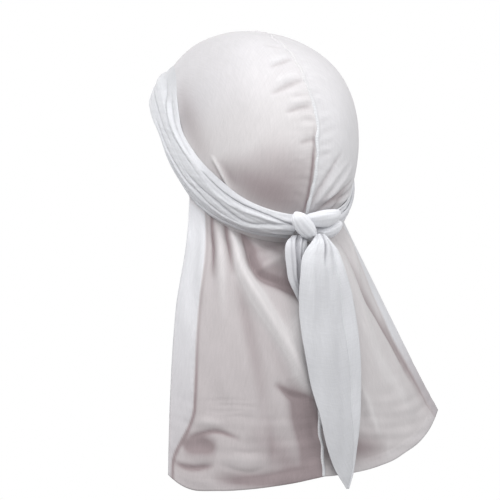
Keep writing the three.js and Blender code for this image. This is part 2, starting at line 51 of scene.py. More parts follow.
# %% [markdown]
# ## The form
# The crown is a squared-off ellipsoid, and the straps follow a line around its edge. All shapes below
# are worked out on this form, as whole arrays of points whose last axis is x, y, z in metres: +Z is
# up, the open front faces -Y, and +X is the wearer's left. The sizes are the measured model's own.

# %% Sizes of the form
CENTRE = np.array([0, 0, -86.6]) * MM
CROWN_HALF_WIDTH, CROWN_BACK, CROWN_FRONT = 80 * MM, 101 * MM, 92 * MM
CROWN_HEIGHT, CROWN_DEPTH = 88 * MM, 108 * MM
CROWN_FULLNESS = 2.25
FRONT_ANGLE, SIDE_FRONT_ANGLE, KNOT_ANGLE, SIDE_BACK_ANGLE = 154, 126, -46, -54
CAPE_CORNER, CAPE_TOP, SIDE_END = 66, 55, 85
CAPE_LENGTH, CAPE_HALF_WIDTH, CAPE_BACK, TUCK = 203 * MM, 130 * MM, 109 * MM, 21 * MM
CROWN_RUN = 330 * MM  # along the seam, from the front edge to the knot
SEAM_GAP = 0.3 * MM


def mix(a, b, share):
    """a moved towards b by a share."""
    return a + (b - a) * share


def smooth(x):
    """A soft step: 0 below 0, 1 above 1, three x squared minus two x cubed between."""
    x = np.clip(x, 0, 1)
    return x * x * (3 - 2 * x)


def bell(x):
    """A soft bump, e to the minus x squared."""
    return np.exp(-np.square(x))


# %% Points on the form
def unit(v):
    """Vectors divided by their lengths."""
    return v / np.maximum(np.linalg.norm(v, axis=-1, keepdims=True), 1e-12)


def radii(d):
    """The form's radius along x, y and z on the side that a direction points to."""
    back = np.where(d[..., 1] > 0, CROWN_BACK, CROWN_FRONT)
    tall = np.where(d[..., 2] > 0, CROWN_HEIGHT, CROWN_DEPTH)
    return np.stack([np.full(d.shape[:-1], CROWN_HALF_WIDTH), back, tall], -1)


def on_form(direction):
    """Where a ray from the centre meets the form: the direction, made so long that the sum of each
    part over its radius, to the power of the fullness, is 1."""
    d = unit(direction)
    total = (np.abs(d / radii(d)) ** CROWN_FULLNESS).sum(-1, keepdims=True)
    return CENTRE + d * total ** (-1 / CROWN_FULLNESS)


def form_normal(point):
    """The slope of the form's sum at a point, as a unit vector."""
    p = point - CENTRE
    r = radii(p)
    return unit(np.sign(p) * np.abs(p / r) ** (CROWN_FULLNESS - 1) / r)


def fan(around, over):
    """The direction that is around degrees from the seam to the left and over degrees up and over
    the side-to-side axis: sine of around, then its cosine times the cosine and sine of over."""
    a, o = np.broadcast_arrays(np.radians(around), np.radians(over))
    return np.stack([np.sin(a), np.cos(a) * np.cos(o), np.cos(a) * np.sin(o)], -1)


def toward_side(around):
    """0 at the seam and 1 at the side, along a hyperbola so that the edge has no kink."""
    return (np.hypot(np.asarray(around) / 90, 0.2) - 0.2) / (np.hypot(1, 0.2) - 0.2)


def front_angle(around):
    """The over angle of the crown's front edge."""
    return mix(FRONT_ANGLE, SIDE_FRONT_ANGLE, toward_side(around))


def back_angle(around):
    """The over angle of the crown's back edge."""
    return mix(KNOT_ANGLE, SIDE_BACK_ANGLE, toward_side(around))


def crown_form(share, around):
    """The crown: a share of the way from its front edge to its back edge."""
    return on_form(fan(around, mix(front_angle(around), back_angle(around), share)))


def wrap_line(along):
    """The straps' middle line on the form: -1 at the knot, 0 at the side, 1 at the front."""
    around = 90 * (1 - np.abs(along))
    over = np.where(along > 0, front_angle(around), back_angle(around))
    return on_form(fan(around, over))


def beside_wrap_line(along, up):
    """A point on the form that lies a distance up from the straps' middle line, square to it."""
    along, up = np.broadcast_arrays(np.asarray(along, float), np.asarray(up, float))
    p, step = wrap_line(along), 0.01
    ahead = wrap_line(np.minimum(1, along + step)) - wrap_line(np.maximum(-1, along - step))
    across = unit(np.cross(ahead, form_normal(p)))
    return on_form(p + across * up[..., None] - CENTRE)


KNOT_SEAT = wrap_line(np.array(-1.0))
print("knot seat at", np.round(KNOT_SEAT / MM, 1), "mm")

# %% Sway of the crown
SEAM_SWAY, SWAY_FROM, SWAY_UNTIL, SWAY_END = 10 * MM, 0.35, 0.55, 0.8


def seam_sway(share):
    """How far the cloth lies shifted to the left: the whole sway over the top, none at the knot."""
    return SEAM_SWAY * smooth(share / SWAY_FROM) * smooth((SWAY_END - share) / (SWAY_END - SWAY_UNTIL))


def swayed(x, sway):
    """x moved by the sway, less and less towards the sides."""
    return x + sway * np.clip(1 - (x / CROWN_HALF_WIDTH) ** 2, 0, 1) ** 2


# %% [markdown]
# ## The hanging cape
# Below the straps the cloth hangs free. Four level sections give its plan at four heights, and a
# smooth curve runs down through them. A simulated drape would not keep the outline that is wanted,
# so the hang is written as a function, and its folds are added to it afterwards.

# %% Cape sections
# Rows: drop, spread, middle, edge, rise, sag, corner, roundness, as shares of the cape's sizes.
LEFT_SECTIONS = np.array(
    [
        [0.17, 0.65, 0.72, 0.32, 0.10, 0.00, 0.00, 0.70],
        [0.39, 0.77, 0.83, 0.41, 0.06, 0.00, 0.00, 0.45],
        [0.70, 0.88, 0.93, 0.55, 0.05, 0.02, 0.00, 0.25],
        [1.00, 0.985, 1.0, 0.73, 0.03, 0.05, 0.05, 0.15],
    ]
)
RIGHT_SECTIONS = np.array(
    [
        [0.17, 0.61, 0.72, 0.30, 0.130, 0, 0.000, 0.75],
        [0.39, 0.75, 0.83, 0.40, 0.140, 0, 0.000, 0.45],
        [0.70, 0.91, 0.93, 0.55, 0.180, 0, 0.000, 0.30],
        [1.00, 1.11, 1.00, 0.66, 0.195, 0, 0.025, 0.20],
    ]
)


def tuck_form(across, down):
    """The cloth held under the straps, from their middle line (down 0) to below them (down 1)."""
    around = across * mix(CAPE_CORNER, CAPE_TOP, down)
    return beside_wrap_line(around / 90 - 1, -TUCK * down)


def section(row, across):
    """One level section: between a straight bow and a quarter circle, by its roundness."""
    drop, spread, middle, edge, rise, sag, corner, roundness = row
    turn = across * np.pi / 2
    lift = rise * across**2.2 - sag * np.sin(np.pi / 1.7 * across)
    lift = lift + corner * np.clip((across - 0.8) / 0.2, 0, 1) ** 2 - drop
    bow, circle = mix(middle, edge, across**2), mix(edge, middle, np.cos(turn))
    x = CAPE_HALF_WIDTH * spread * mix(across, np.sin(turn), roundness)
    return np.stack([x, CAPE_BACK * mix(bow, circle, roundness), KNOT_SEAT[2] + CAPE_LENGTH * lift], -1)


def cape_form(sections, across, down):
    """A Hermite curve down through the tuck's lower edge and the sections, with the slope at each
    taken from its two neighbours."""
    across, down = np.broadcast_arrays(np.asarray(across, float), np.asarray(down, float))
    rows = [tuck_form(across, np.ones_like(across))] + [section(r, across) for r in sections]
    rows, at = np.stack(rows), np.append(0, sections[:, 0])
    i = np.clip(np.searchsorted(at, down) - 1, 0, len(at) - 2)
    cell = tuple(np.indices(across.shape))
    span = at[i + 1] - at[i]
    s = ((down - at[i]) / span)[..., None]

    def slope(j):
        low, high = np.maximum(0, j - 1), np.minimum(len(at) - 1, j + 1)
        return (rows[(high, *cell)] - rows[(low, *cell)]) * (span / (at[high] - at[low]))[..., None]

    start, end = rows[(i, *cell)], rows[(i + 1, *cell)]
    curve = start * (2 * s**3 - 3 * s**2 + 1) + end * (3 * s**2 - 2 * s**3)
    return curve + slope(i) * (s**3 - 2 * s**2 + s) + slope(i + 1) * (s**3 - s**2)


# %% [markdown]
# ## From arrays to meshes
# A grid of points becomes a mesh of four-sided faces in one call. The same helper closes a grid that
# is a tube, and puts caps on its ends. Each point keeps its place on the cloth in metres as its UV, so
# that a weave can follow the cloth, and two numbers: how far the cloth is doubled, and how much
# painted shade it takes.


# %% Mesh helpers
def grid_faces(rows, columns, ring=False, flip=False):
    """Quads between neighbouring rows and columns; a ring also joins its last column to its first."""
    index = np.arange(rows * columns).reshape(rows, columns)
    if ring:
        index = np.hstack([index, index[:, :1]])
    quads = np.stack([index[:-1, :-1], index[:-1, 1:], index[1:, 1:], index[1:, :-1]], -1)
    quads = quads.reshape(-1, 4)
    return quads[:, ::-1] if flip else quads


def tube_faces(stations, sides, flip=False):
    """The faces of a closed tube: the quads round it and one face over each end."""
    ends = [np.arange(sides)[::-1], np.arange(sides) + (stations - 1) * sides]
    faces = [*grid_faces(stations, sides, ring=True), *ends]
    return [face[::-1] for face in faces] if flip else faces


def make_piece(name, points, faces, uv, doubled, sheer_and_shade, material, slot, node=None):
    """A smooth-shaded object from points, faces, UVs in metres and two numbers for each point: how far
    its cloth is doubled, and how much painted shade it takes, with the darker look of sheer cloth."""
    mesh = bpy.data.meshes.new(name)
    mesh.from_pydata(points.reshape(-1, 3).tolist(), [], [list(map(int, face)) for face in faces])
    mesh.polygons.foreach_set("use_smooth", np.ones(len(mesh.polygons), bool))
    corner = np.zeros(len(mesh.loops), int)
    mesh.loops.foreach_get("vertex_index", corner)
    layer = mesh.uv_layers.new(name="cloth")
    layer.data.foreach_set("uv", uv.reshape(-1, 2)[corner].astype(np.float32).ravel())
    for mark, values in (("doubled", doubled), ("sheer_and_shade", sheer_and_shade)):
        values = np.broadcast_to(values, points.shape[:-1]).astype(np.float32)
        mesh.attributes.new(mark, "FLOAT", "POINT").data.foreach_set("value", values.ravel())
    mesh.materials.append(material)
    mesh.validate()
    piece = bpy.data.objects.new(name, mesh)
    bpy.context.scene.collection.objects.link(piece)
    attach(piece, "root")
    if node:
        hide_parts(node)
    print(name, len(mesh.vertices), "points,", len(mesh.polygons), "faces")
    return piece


def cloth_area(piece):
    """The area of a sheet's cloth, in square metres."""
    area = sum(face.area for face in piece.data.polygons)
    print(piece.name, "has", round(area, 5), "square metres of cloth")
    return area


def run_length(points, axis):
    """The distance travelled along one axis of a grid, starting from 0."""
    step = np.linalg.norm(np.diff(points, axis=axis), axis=-1)
    return np.insert(np.cumsum(step, axis=axis), 0, 0, axis=axis)


def points_at(distance, run, line):
    """The points of a line at given distances along it."""
    return np.stack([np.interp(distance, run, line[:, k]) for k in range(3)], -1)


# %% [markdown]
# ## Creases
# Folds in cloth run along lines. Each line here is a short list of places on the cloth, rounded into
# a curve, and the cloth rises or sinks by a bell of its distance to that curve, which fades at both
# ends. That is cheaper to steer than a sculpt, and it stays a few numbers for each fold.


# %% Crease function
def rounded(places, count=24):
    """A Catmull-Rom curve through a few places, as count places."""
    p = np.asarray(places, float)
    p = np.vstack([2 * p[0] - p[1], p, 2 * p[-1] - p[-2]])
    t = np.linspace(0, len(p) - 3, count)
    k = np.minimum(t.astype(int), len(p) - 4)
    s = (t - k)[:, None]
    a, b, c, d = p[k], p[k + 1], p[k + 2], p[k + 3]
    return 0.5 * (2 * b + (c - a) * s + (2 * a - 5 * b + 4 * c - d) * s**2 + (3 * b - a - 3 * c + d) * s**3)


def crease(x, y, places, height, width, sharp=2.0, start=0.8, end=0.8):
    """height times e to the minus (distance to the curve over width) to the power sharp, times a
    sine from 0 to 1 to 0 along the curve, raised to the power start or end."""
    line = rounded(places)
    step = np.diff(line, axis=0)
    length = np.hypot(*step.T)
    run = np.append(0, np.cumsum(length))
    nearest, place = np.full(x.shape, np.inf), np.zeros(x.shape)
    for k in range(len(step)):
        dx, dy = x - line[k, 0], y - line[k, 1]
        s = np.clip((dx * step[k, 0] + dy * step[k, 1]) / length[k] ** 2, 0, 1)
        gap = np.hypot(dx - s * step[k, 0], dy - s * step[k, 1])
        closer = gap < nearest
        nearest = np.where(closer, gap, nearest)
        place = np.where(closer, (run[k] + s * length[k]) / run[-1], place)
    fade = np.sin(np.pi * np.clip(place, 0.001, 0.999)) ** np.where(place < 0.5, start, end)
    return height * fade * np.exp(-((nearest / width) ** sharp))


def ripples(x, y, count, longest, shortest, seed):
    """A sum of sine waves of random phase, with lengths between two sizes, whose crests run nearly
    along y. It stays between about -1 and 1."""
    draw = np.random.default_rng(seed)
    total = np.zeros(np.broadcast(x, y).shape)
    for _ in range(count):
        wave = 2 * np.pi / np.exp(draw.uniform(np.log(shortest), np.log(longest)))
        turn = draw.normal(0, 0.35)
        total = total + np.sin(wave * (x * np.cos(turn) + y * np.sin(turn)) + draw.uniform(0, 2 * np.pi))
    return total / np.sqrt(count)


# %% [markdown]
# ## Cloth finishes
# The cloth is thin, pale grey and a little stretchy. Where it is single it looks a little darker and
# warmer; where it is doubled, in hems, straps and ends, it is denser, paler and cooler. A third,
# darkest colour is painted shade: it is laid in fold hollows, grooves, under the straps and low down,
# taken off fold ridges as a painted highlight, and on the panels it also gives the darker look of
# sheer single cloth. One material mixes the three by two numbers kept on each point, adds a soft
# mottle, a fine grain and the faint streaks of uneven threads, and gives the surface the bumps of its
# weave from its UV. Cloth scatters light, so the roughness is high, and a little sheen brightens it
# where it turns away. Two helpers come first: one fills the inputs of a node, and the other makes a
# node.


# %% Shader nodes
def fill(tree, node, inputs):
    """Each input of a node, by its name or number, gets a value, or a link from a socket."""
    for key, value in inputs.items():
        if isinstance(value, bpy.types.NodeSocket):
            tree.links.new(value, node.inputs[key])
        else:
            node.inputs[key].default_value = value


def add_node(tree, kind, output, inputs=None, **settings):
    """A new node with its settings and then its inputs made. It gives its named output back."""
    node = tree.nodes.new("ShaderNode" + kind)
    for setting, value in settings.items():
        setattr(node, setting, value)
    fill(tree, node, inputs or {})
    return node.outputs[output]


# %% Fabric material
ROUGHNESS, SHEEN, SHEEN_ROUGHNESS, SPECULAR = 0.86, 0.25, 0.45, 0.25
PALEST, MOTTLE, GRAIN, STREAKS = 0.95, 0.10, 0.08, 0.16  # shares of the colour
MOTTLE_SCALE, GRAIN_SCALE, STREAK_SCALES = 45, 900, ((70, 900, 1), (900, 70, 1))
WAVE_AT_SCALE_1 = 0.314  # metres from crest to crest
THREAD_DISTORTION, GRAIN_IN_BUMP, BUMP_HEIGHT = 0.6, 0.5, 0.15 * MM


def fabric(name, single, doubled, sheer_and_shade=None, weave=1.1 * MM, depth=0.12):
    """A Principled fabric: colour from the doubled mark, the mark of painted shade and sheer cloth, and
    two noises, bumps from two waves that cross on the UV and from a fine noise."""
    material = bpy.data.materials.new(name)
    material.use_nodes = True
    tree = material.node_tree

    def add(kind, output, inputs=None, **settings):
        return add_node(tree, kind, output, inputs, **settings)

    def blend(mark, colour, other):
        share = add("Attribute", "Fac", attribute_name=mark)
        return add("Mix", "Result", {"Factor": share, "A": colour, "B": (*other, 1)}, data_type="RGBA")

    def noise(vector, scale, detail):
        return add("TexNoise", "Fac", {"Vector": vector, "Scale": scale, "Detail": detail})

    def times_plus(value, factor, other):
        return add("Math", "Value", {0: value, 1: factor, 2: other}, operation="MULTIPLY_ADD")

    spot, cloth = add("TexCoord", "Object"), add("TexCoord", "UV")
    colour = blend("sheer_and_shade", blend("doubled", (*single, 1), doubled), sheer_and_shade or single)
    grain = noise(spot, GRAIN_SCALE, 2)
    tone = times_plus(noise(spot, MOTTLE_SCALE, 3), MOTTLE, PALEST - STREAKS)
    tone = times_plus(grain, GRAIN, tone)
    for scale in STREAK_SCALES:
        stretch = add("Mapping", "Vector", {"Vector": cloth, "Scale": scale})
        tone = times_plus(noise(stretch, 1, 2), STREAKS, tone)

    wave = {"Vector": cloth, "Scale": WAVE_AT_SCALE_1 / weave, "Distortion": THREAD_DISTORTION, "Detail": 1}
    warp, weft = [add("TexWave", "Fac", wave, bands_direction=way) for way in ("X", "Y")]
    crossing = add("Math", "Value", {0: warp, 1: weft}, operation="MAXIMUM")
    height = times_plus(grain, GRAIN_IN_BUMP, crossing)
    surface = {
        "Roughness": ROUGHNESS,
        "Sheen Weight": SHEEN,
        "Sheen Roughness": SHEEN_ROUGHNESS,
        "Specular IOR Level": SPECULAR,
        "Base Color": add("VectorMath", "Vector", {0: colour, "Scale": tone}, operation="SCALE"),
        "Normal": add("Bump", "Normal", {"Strength": depth, "Distance": BUMP_HEIGHT, "Height": height}),
    }
    fill(tree, tree.nodes["Principled BSDF"], surface)
    print(name, "has", len(tree.nodes), "nodes")
    return material


# The third colour of each cloth is its darkest: painted shade, and on the panels also the darker, warmer look
# of sheer single cloth.
panel_cloth = fabric(
    "panel_weave", single=(0.56, 0.541, 0.547), doubled=(0.58, 0.582, 0.605), sheer_and_shade=(0.265, 0.22, 0.227)
)
strap_cloth = fabric(
    "strap_weave", single=(0.50, 0.505, 0.525), doubled=(0.80, 0.81, 0.845), sheer_and_shade=(0.38, 0.38, 0.405)
)
seam_cloth = fabric("seam_edge", single=(0.55, 0.54, 0.55), doubled=(0.61, 0.62, 0.64), depth=0.3)
thread = fabric("sewing_thread", single=(0.62, 0.62, 0.63), doubled=(0.68, 0.68, 0.69), weave=0.5 * MM)

# %% [markdown]
# ## Thin cloth and stitches
# A panel is one surface, and Solidify gives it its wall, inwards, so that its outside stays where the
# measured model has it. Stitches are real little capsules: each has about two dozen faces, and one
# array sum places a whole row of them along a line.

# %% Wall and stitch helpers
PANEL_WALL, END_WALL = 0.6 * MM, 0.45 * MM
STITCH_RINGS, STITCH_SIDES = 5, 6
STITCH_PITCH, STITCH_LENGTH, STITCH_WIDTH, STITCH_LIFT = 3.2 * MM, 2.5 * MM, 0.55 * MM, 0.05 * MM


def thicken(piece, wall, offset):
    """A Solidify wall, with its rim closed: inwards for an offset of -1, to both sides for 0."""
    solid = piece.modifiers.new("wall", "SOLIDIFY")
    solid.thickness = wall
    solid.offset = offset
    solid.use_even_offset = False


def stitch_rows(name, lines, normals):
    """Capsules along lines of points: each is centred at an even spacing, turned along the line, and
    half sunk in the cloth. A capsule's rings follow a half circle, and its sides go round it."""
    turn = np.linspace(0, np.pi, STITCH_RINGS + 2)[1:-1, None]
    side = np.linspace(0, 2 * np.pi, STITCH_SIDES, endpoint=False)
    wide = np.sin(turn) ** 0.6 * STITCH_WIDTH / 2
    parts = -np.cos(turn) * STITCH_LENGTH / 2, wide * np.cos(side), wide * np.sin(side)
    local = np.stack(np.broadcast_arrays(*parts), -1)
    capsule = tube_faces(STITCH_RINGS, STITCH_SIDES, flip=True)
    points, faces, count = [], [], 0
    for line, normal in zip(lines, normals):
        run = run_length(line, 0)
        at = np.arange(STITCH_PITCH / 2, run[-1], STITCH_PITCH)
        place, out = points_at(at, run, line), unit(points_at(at, run, normal))
        ahead = unit(np.gradient(place, axis=0))
        across = unit(np.cross(out, ahead))
        out = np.cross(ahead, across)
        cells = place[:, None, None] + out[:, None, None] * STITCH_LIFT
        for axis, direction in enumerate((ahead, across, out)):
            cells = cells + local[None, ..., axis : axis + 1] * direction[:, None, None]
        points.append(cells.reshape(-1, 3))
        for start in count + np.arange(len(at)) * STITCH_RINGS * STITCH_SIDES:
            faces += [start + face for face in capsule]
        count += len(points[-1])
    points = np.concatenate(points)
    return make_piece(name, points, faces, points[:, :2], 1, 0, thread, "seam_cloth")


# %% [markdown]
# ## The two panels
# Each panel is one grid: the crown's rows, a few rows held under the straps, and the cape's rows. The
# cloth runs to the crown's side edge above the straps and comes in to the cape's edge under them. Its
# places are given in cloth units: on the crown, degrees round from the seam and share from front to
# knot; on the cape, share across and share down.

# %% Panel folds
# Each fold: its places, its height and its width in millimetres, and how sharp its top is.
LEFT_CROWN_FOLDS = [
    ([(13.5, 0.522), (7.5, 0.537), (1.2, 0.556)], -0.6, 2.0, 1.7),
    ([(17, 0.604), (8.2, 0.599), (2.6, 0.591), (0.3, 0.586)], -1.2, 2.0, 1.6),
    ([(16, 0.590), (8, 0.584), (1, 0.574)], 0.8, 2.6, 2),
    ([(21, 0.674), (10.5, 0.663), (1.5, 0.652), (0.2, 0.650)], -1.8, 2.0, 1.5),
    ([(17, 0.648), (8.5, 0.640), (1.2, 0.634)], 0.8, 2.6, 2),
    ([(12, 0.690), (7, 0.689), (2.6, 0.688), (0.3, 0.687)], -0.5, 2.0, 1.6),
    ([(14, 0.703), (7, 0.702), (1, 0.700)], 0.7, 2.4, 2),
    ([(16, 0.726), (8.8, 0.720), (1.7, 0.716), (0.3, 0.716)], -1.7, 1.8, 1.5),
    ([(10, 0.749), (5.9, 0.745), (2.1, 0.743), (0.3, 0.742)], -0.4, 1.7, 1.6),
    ([(9, 0.765), (5, 0.764), (1, 0.766)], 0.5, 2.4, 2),
    ([(10, 0.799), (5.2, 0.796), (2.0, 0.793), (0.2, 0.792)], -1.8, 1.7, 1.5),
    ([(8.0, 0.840), (5.4, 0.835), (1.7, 0.832), (0.2, 0.83)], -0.4, 1.8, 1.6),
    ([(1.7, 0.76), (1.8, 0.83), (1.7, 0.90), (1.6, 0.99)], -1.2, 1.3, 1.6),
    ([(52, 0.845), (51.1, 0.855), (47.1, 0.884), (41.3, 0.923), (35.8, 0.954), (34, 0.965)], 2.3, 1.7, 1.5),
    ([(51, 0.875), (46, 0.905), (40, 0.938), (35, 0.965)], -1.3, 2.6, 1.8),
    ([(46, 0.86), (40, 0.90), (34, 0.935)], -0.6, 4.0, 2),
]
RIGHT_CROWN_FOLDS = [
    ([(0.8, 0.985), (3.6, 0.968), (6.8, 0.95), (10.5, 0.934), (16.2, 0.923), (22.2, 0.906),
      (31, 0.885)], -2.8, 1.9, 1.5),
    ([(9, 0.985), (14.1, 0.956), (16.7, 0.941), (21, 0.929), (32, 0.92), (42, 0.915)], -2.4, 1.9, 1.5),
    ([(0.3, 0.975), (1.0, 0.938), (3.0, 0.907), (6.4, 0.878), (11, 0.84), (16, 0.81)], -1.6, 1.8, 1.6),
    ([(3, 0.975), (7.4, 0.945), (11, 0.921), (15.3, 0.898), (21, 0.871), (28, 0.84)], 2.0, 2.4, 1.8),
    ([(12, 0.992), (20, 0.968), (30, 0.958), (44, 0.955)], -2.0, 2.0, 1.6),
    ([(1.5, 0.955), (5, 0.922), (10, 0.888), (16, 0.855), (22, 0.83)], 1.4, 2.0, 1.8),
    ([(9, 0.965), (14, 0.945), (22, 0.938), (36, 0.935)], 1.6, 2.2, 1.8),
    ([(8, 0.60), (4, 0.598), (0.5, 0.597)], -0.2, 2.0, 1.7),
    ([(9, 0.66), (4, 0.656), (0.5, 0.654)], -0.25, 2.0, 1.7),
    ([(8, 0.712), (4, 0.711), (0.5, 0.710)], -0.25, 1.8, 1.7),
    ([(9, 0.77), (4, 0.771), (0.5, 0.772)], -0.35, 1.8, 1.7),
    ([(8, 0.822), (4, 0.824), (0.5, 0.827)], -0.35, 1.8, 1.7),
]
LEFT_CAPE_FOLDS = [
    ([(0.53, -0.10), (0.529, 0.036), (0.52, 0.12), (0.483, 0.201), (0.389, 0.289), (0.277, 0.398),
      (0.156, 0.53), (0.03, 0.67)], 7.0, 6.5, 1.8),
    ([(0.40, -0.06), (0.374, 0.058), (0.382, 0.153), (0.332, 0.208), (0.217, 0.235), (0.127, 0.262),
      (0.0, 0.32)], -5.5, 5.0, 1.7),
    ([(0.42, 0.21), (0.33, 0.178), (0.24, 0.145), (0.14, 0.11)], 2.2, 4.0, 1.9),
    ([(0.36, -0.06), (0.25, 0.02), (0.10, 0.01), (-0.05, 0.0)], -3.0, 6.0, 1.9),
    ([(0.61, -0.04), (0.564, 0.082), (0.496, 0.257), (0.457, 0.385), (0.416, 0.515), (0.379, 0.664),
      (0.35, 0.84)], -3.2, 6.5, 1.8),
    ([(0.42, 0.31), (0.28, 0.46), (0.18, 0.58), (0.08, 0.72)], -2.8, 8.0, 1.9),
    ([(0.04, 0.20), (0.05, 0.34), (0.04, 0.48), (0.0, 0.62)], 4.0, 12.0, 2),
    ([(0.725, -0.12), (0.712, 0.074), (0.706, 0.142), (0.714, 0.26)], -3.4, 3.0, 1.6),
    ([(0.65, -0.10), (0.645, 0.08), (0.64, 0.2), (0.62, 0.42)], 2.6, 6.0, 2),
    ([(0.585, -0.12), (0.574, 0.038), (0.561, 0.117), (0.544, 0.23)], -3.6, 3.2, 1.6),
    ([(0.80, -0.10), (0.80, 0.1), (0.80, 0.34)], 1.6, 5.0, 2),
    ([(0.46, -0.10), (0.42, 0.03), (0.40, 0.09), (0.395, 0.18)], -2.8, 3.2, 1.7),
    ([(0.17, 0.60), (0.13, 0.70), (0.10, 0.78), (0.06, 0.86), (0.04, 0.95)], -3.2, 9.0, 2.6),
    ([(0.30, 0.62), (0.248, 0.645), (0.18, 0.668), (0.06, 0.690)], -2.0, 3.0, 1.8),
    ([(0.80, 0.700), (0.62, 0.687), (0.43, 0.686)], -0.5, 1.3, 1.7),
    ([(0.72, 0.710), (0.56, 0.703), (0.40, 0.708)], -0.6, 1.2, 1.7),
    ([(0.78, 0.731), (0.65, 0.728), (0.50, 0.722)], -0.5, 1.2, 1.7),
    ([(0.64, 0.746), (0.54, 0.742), (0.45, 0.747)], -0.4, 1.2, 1.7),
    ([(0.92, 0.87), (0.80, 0.846), (0.68, 0.856)], -2.6, 5.0, 2),
    ([(0.87, 0.83), (0.764, 0.807), (0.667, 0.80), (0.53, 0.825)], -1.8, 1.9, 1.7),
    ([(0.86, 0.79), (0.76, 0.772), (0.62, 0.772)], 1.5, 3.2, 2),
    ([(0.97, 0.936), (0.846, 0.928), (0.70, 0.914)], -2.4, 2.2, 1.7),
    ([(0.70, 0.875), (0.541, 0.902), (0.36, 0.905)], 1.2, 7.0, 2),
    ([(0.75, 0.965), (0.544, 0.975), (0.34, 0.979)], -1.2, 2.6, 1.8),
    ([(0.335, 0.74), (0.329, 0.85), (0.332, 0.92), (0.336, 0.99)], -1.6, 3.4, 1.8),
    ([(0.67, 0.913), (0.504, 0.938), (0.364, 0.930)], -1.0, 1.7, 1.7),
    ([(0.60, 0.86), (0.50, 0.872), (0.40, 0.868)], -0.7, 1.7, 1.7),
]
RIGHT_CAPE_FOLDS = [
    ([(0.50, -0.05), (0.56, 0.1), (0.605, 0.22), (0.648, 0.32), (0.730, 0.41), (0.832, 0.53),
      (0.89, 0.66), (0.935, 0.82), (0.95, 1.0)], -3.6, 5.0, 1.7),
    ([(0.80, -0.03), (0.783, 0.125), (0.70, 0.22), (0.66, 0.32)], 1.6, 6.0, 1.9),
    ([(0.40, -0.05), (0.44, 0.15), (0.50, 0.34), (0.57, 0.52), (0.62, 0.75)], 2.8, 8.0, 1.9),
    ([(0.33, -0.05), (0.31, 0.16), (0.33, 0.36), (0.38, 0.55)], -2.0, 6.0, 1.8),
    ([(0.34, 0.62), (0.358, 0.687), (0.391, 0.815), (0.43, 0.93)], 2.4, 3.6, 1.6),
    ([(0.30, 0.66), (0.325, 0.76), (0.35, 0.88)], -1.6, 5.0, 1.8),
    ([(0.20, -0.05), (0.19, 0.2), (0.22, 0.5)], 2.0, 7.0, 1.9),
    ([(0.62, 0.60), (0.70, 0.76), (0.78, 0.92)], 1.6, 8.0, 1.9),
]
# Painted shade, partly the darker look of sheer cloth, in folds and hollows, under the straps and low
# down; a negative amount paints light, as a highlight on ridges and to lift the shadow cast beside the
# long end: places, how much, width in millimetres and sharpness.
LEFT_CROWN_SHADE = [
    ([(-8, 0.955), (6, 0.945), (16, 0.93), (30, 0.905), (50, 0.86)], 0.85, 17.0, 2.2),
    ([(-8, 0.87), (8, 0.865), (20, 0.84), (32, 0.80)], 0.5, 15.0, 2),
    ([(62, 0.25), (70, 0.45), (68, 0.70), (58, 0.86), (46, 0.95)], 0.45, 13.0, 2),
    ([(1.7, 0.75), (1.9, 0.83), (1.8, 0.90), (1.6, 0.99)], 0.6, 1.6, 2),
]
RIGHT_CROWN_SHADE = [([(0, 0.97), (12, 0.935), (26, 0.94)], 0.5, 11.0, 2)]
LEFT_CAPE_SHADE = [
    ([(0.50, 0.0), (0.34, 0.07), (0.18, 0.05), (0.0, 0.04)], 0.28, 6.0, 2),
    ([(0.385, 0.0), (0.382, 0.153), (0.332, 0.21), (0.217, 0.237), (0.127, 0.264),
      (0.0, 0.32)], 0.85, 4.5, 2),
    ([(0.44, 0.08), (0.30, 0.16), (0.14, 0.20), (0.02, 0.26)], 0.45, 11.0, 2),
    ([(0.20, 0.22), (0.09, 0.25), (0.0, 0.30)], 0.3, 7.0, 2),
    ([(0.20, 0.07), (0.12, 0.08), (0.04, 0.09)], 0.2, 5.0, 2),
    # Painted light that lifts the shadow cast by the long end.
    ([(0.05, 0.36), (0.06, 0.48), (0.03, 0.72)], -0.65, 12.0, 2.4),
    # A painted highlight along the cape's main ridge.
    ([(0.53, 0.02), (0.483, 0.201), (0.389, 0.289), (0.277, 0.398), (0.156, 0.53),
      (0.03, 0.68)], -0.35, 7.0, 2),
    ([(0.30, 0.62), (0.248, 0.640), (0.18, 0.668), (0.0, 0.70)], 0.7, 3.2, 2),
    ([(0.115, 0.62), (0.105, 0.74), (0.05, 0.88), (0.0, 1.15)], 1.0, 11.5, 3.4),
    ([(0.48, 0.78), (0.32, 0.86), (0.2, 0.96), (0.1, 1.1)], 0.35, 10.0, 2),
    ([(0.92, 0.868), (0.80, 0.850), (0.68, 0.862)], 0.95, 6.0, 2),
    ([(0.97, 0.936), (0.846, 0.928), (0.70, 0.914)], 0.7, 2.4, 2),
    ([(0.87, 0.83), (0.764, 0.807), (0.667, 0.80), (0.53, 0.825)], 0.6, 2.0, 2),
    ([(0.72, 0.955), (0.55, 0.965), (0.30, 0.975), (-0.15, 0.97)], 0.8, 5.0, 2),
    ([(0.725, -0.12), (0.712, 0.074), (0.706, 0.142), (0.714, 0.26)], 0.7, 2.6, 2),
    ([(0.585, -0.12), (0.574, 0.038), (0.561, 0.117), (0.544, 0.23)], 0.7, 2.8, 2),
    ([(0.46, -0.10), (0.42, 0.03), (0.40, 0.09), (0.395, 0.18)], 0.6, 2.8, 2),
]
RIGHT_CAPE_SHADE = [
    ([(0.30, -0.05), (0.30, 0.2), (0.33, 0.5), (0.36, 0.7)], 0.25, 9.0, 2),
    ([(0.60, 0.18), (0.725, 0.40), (0.845, 0.56), (0.91, 0.76), (0.935, 1.0)], 0.42, 4.5, 2),
    ([(-0.1, 0.90), (0.20, 0.90), (0.46, 0.95)], 0.8, 11.0, 2),
]
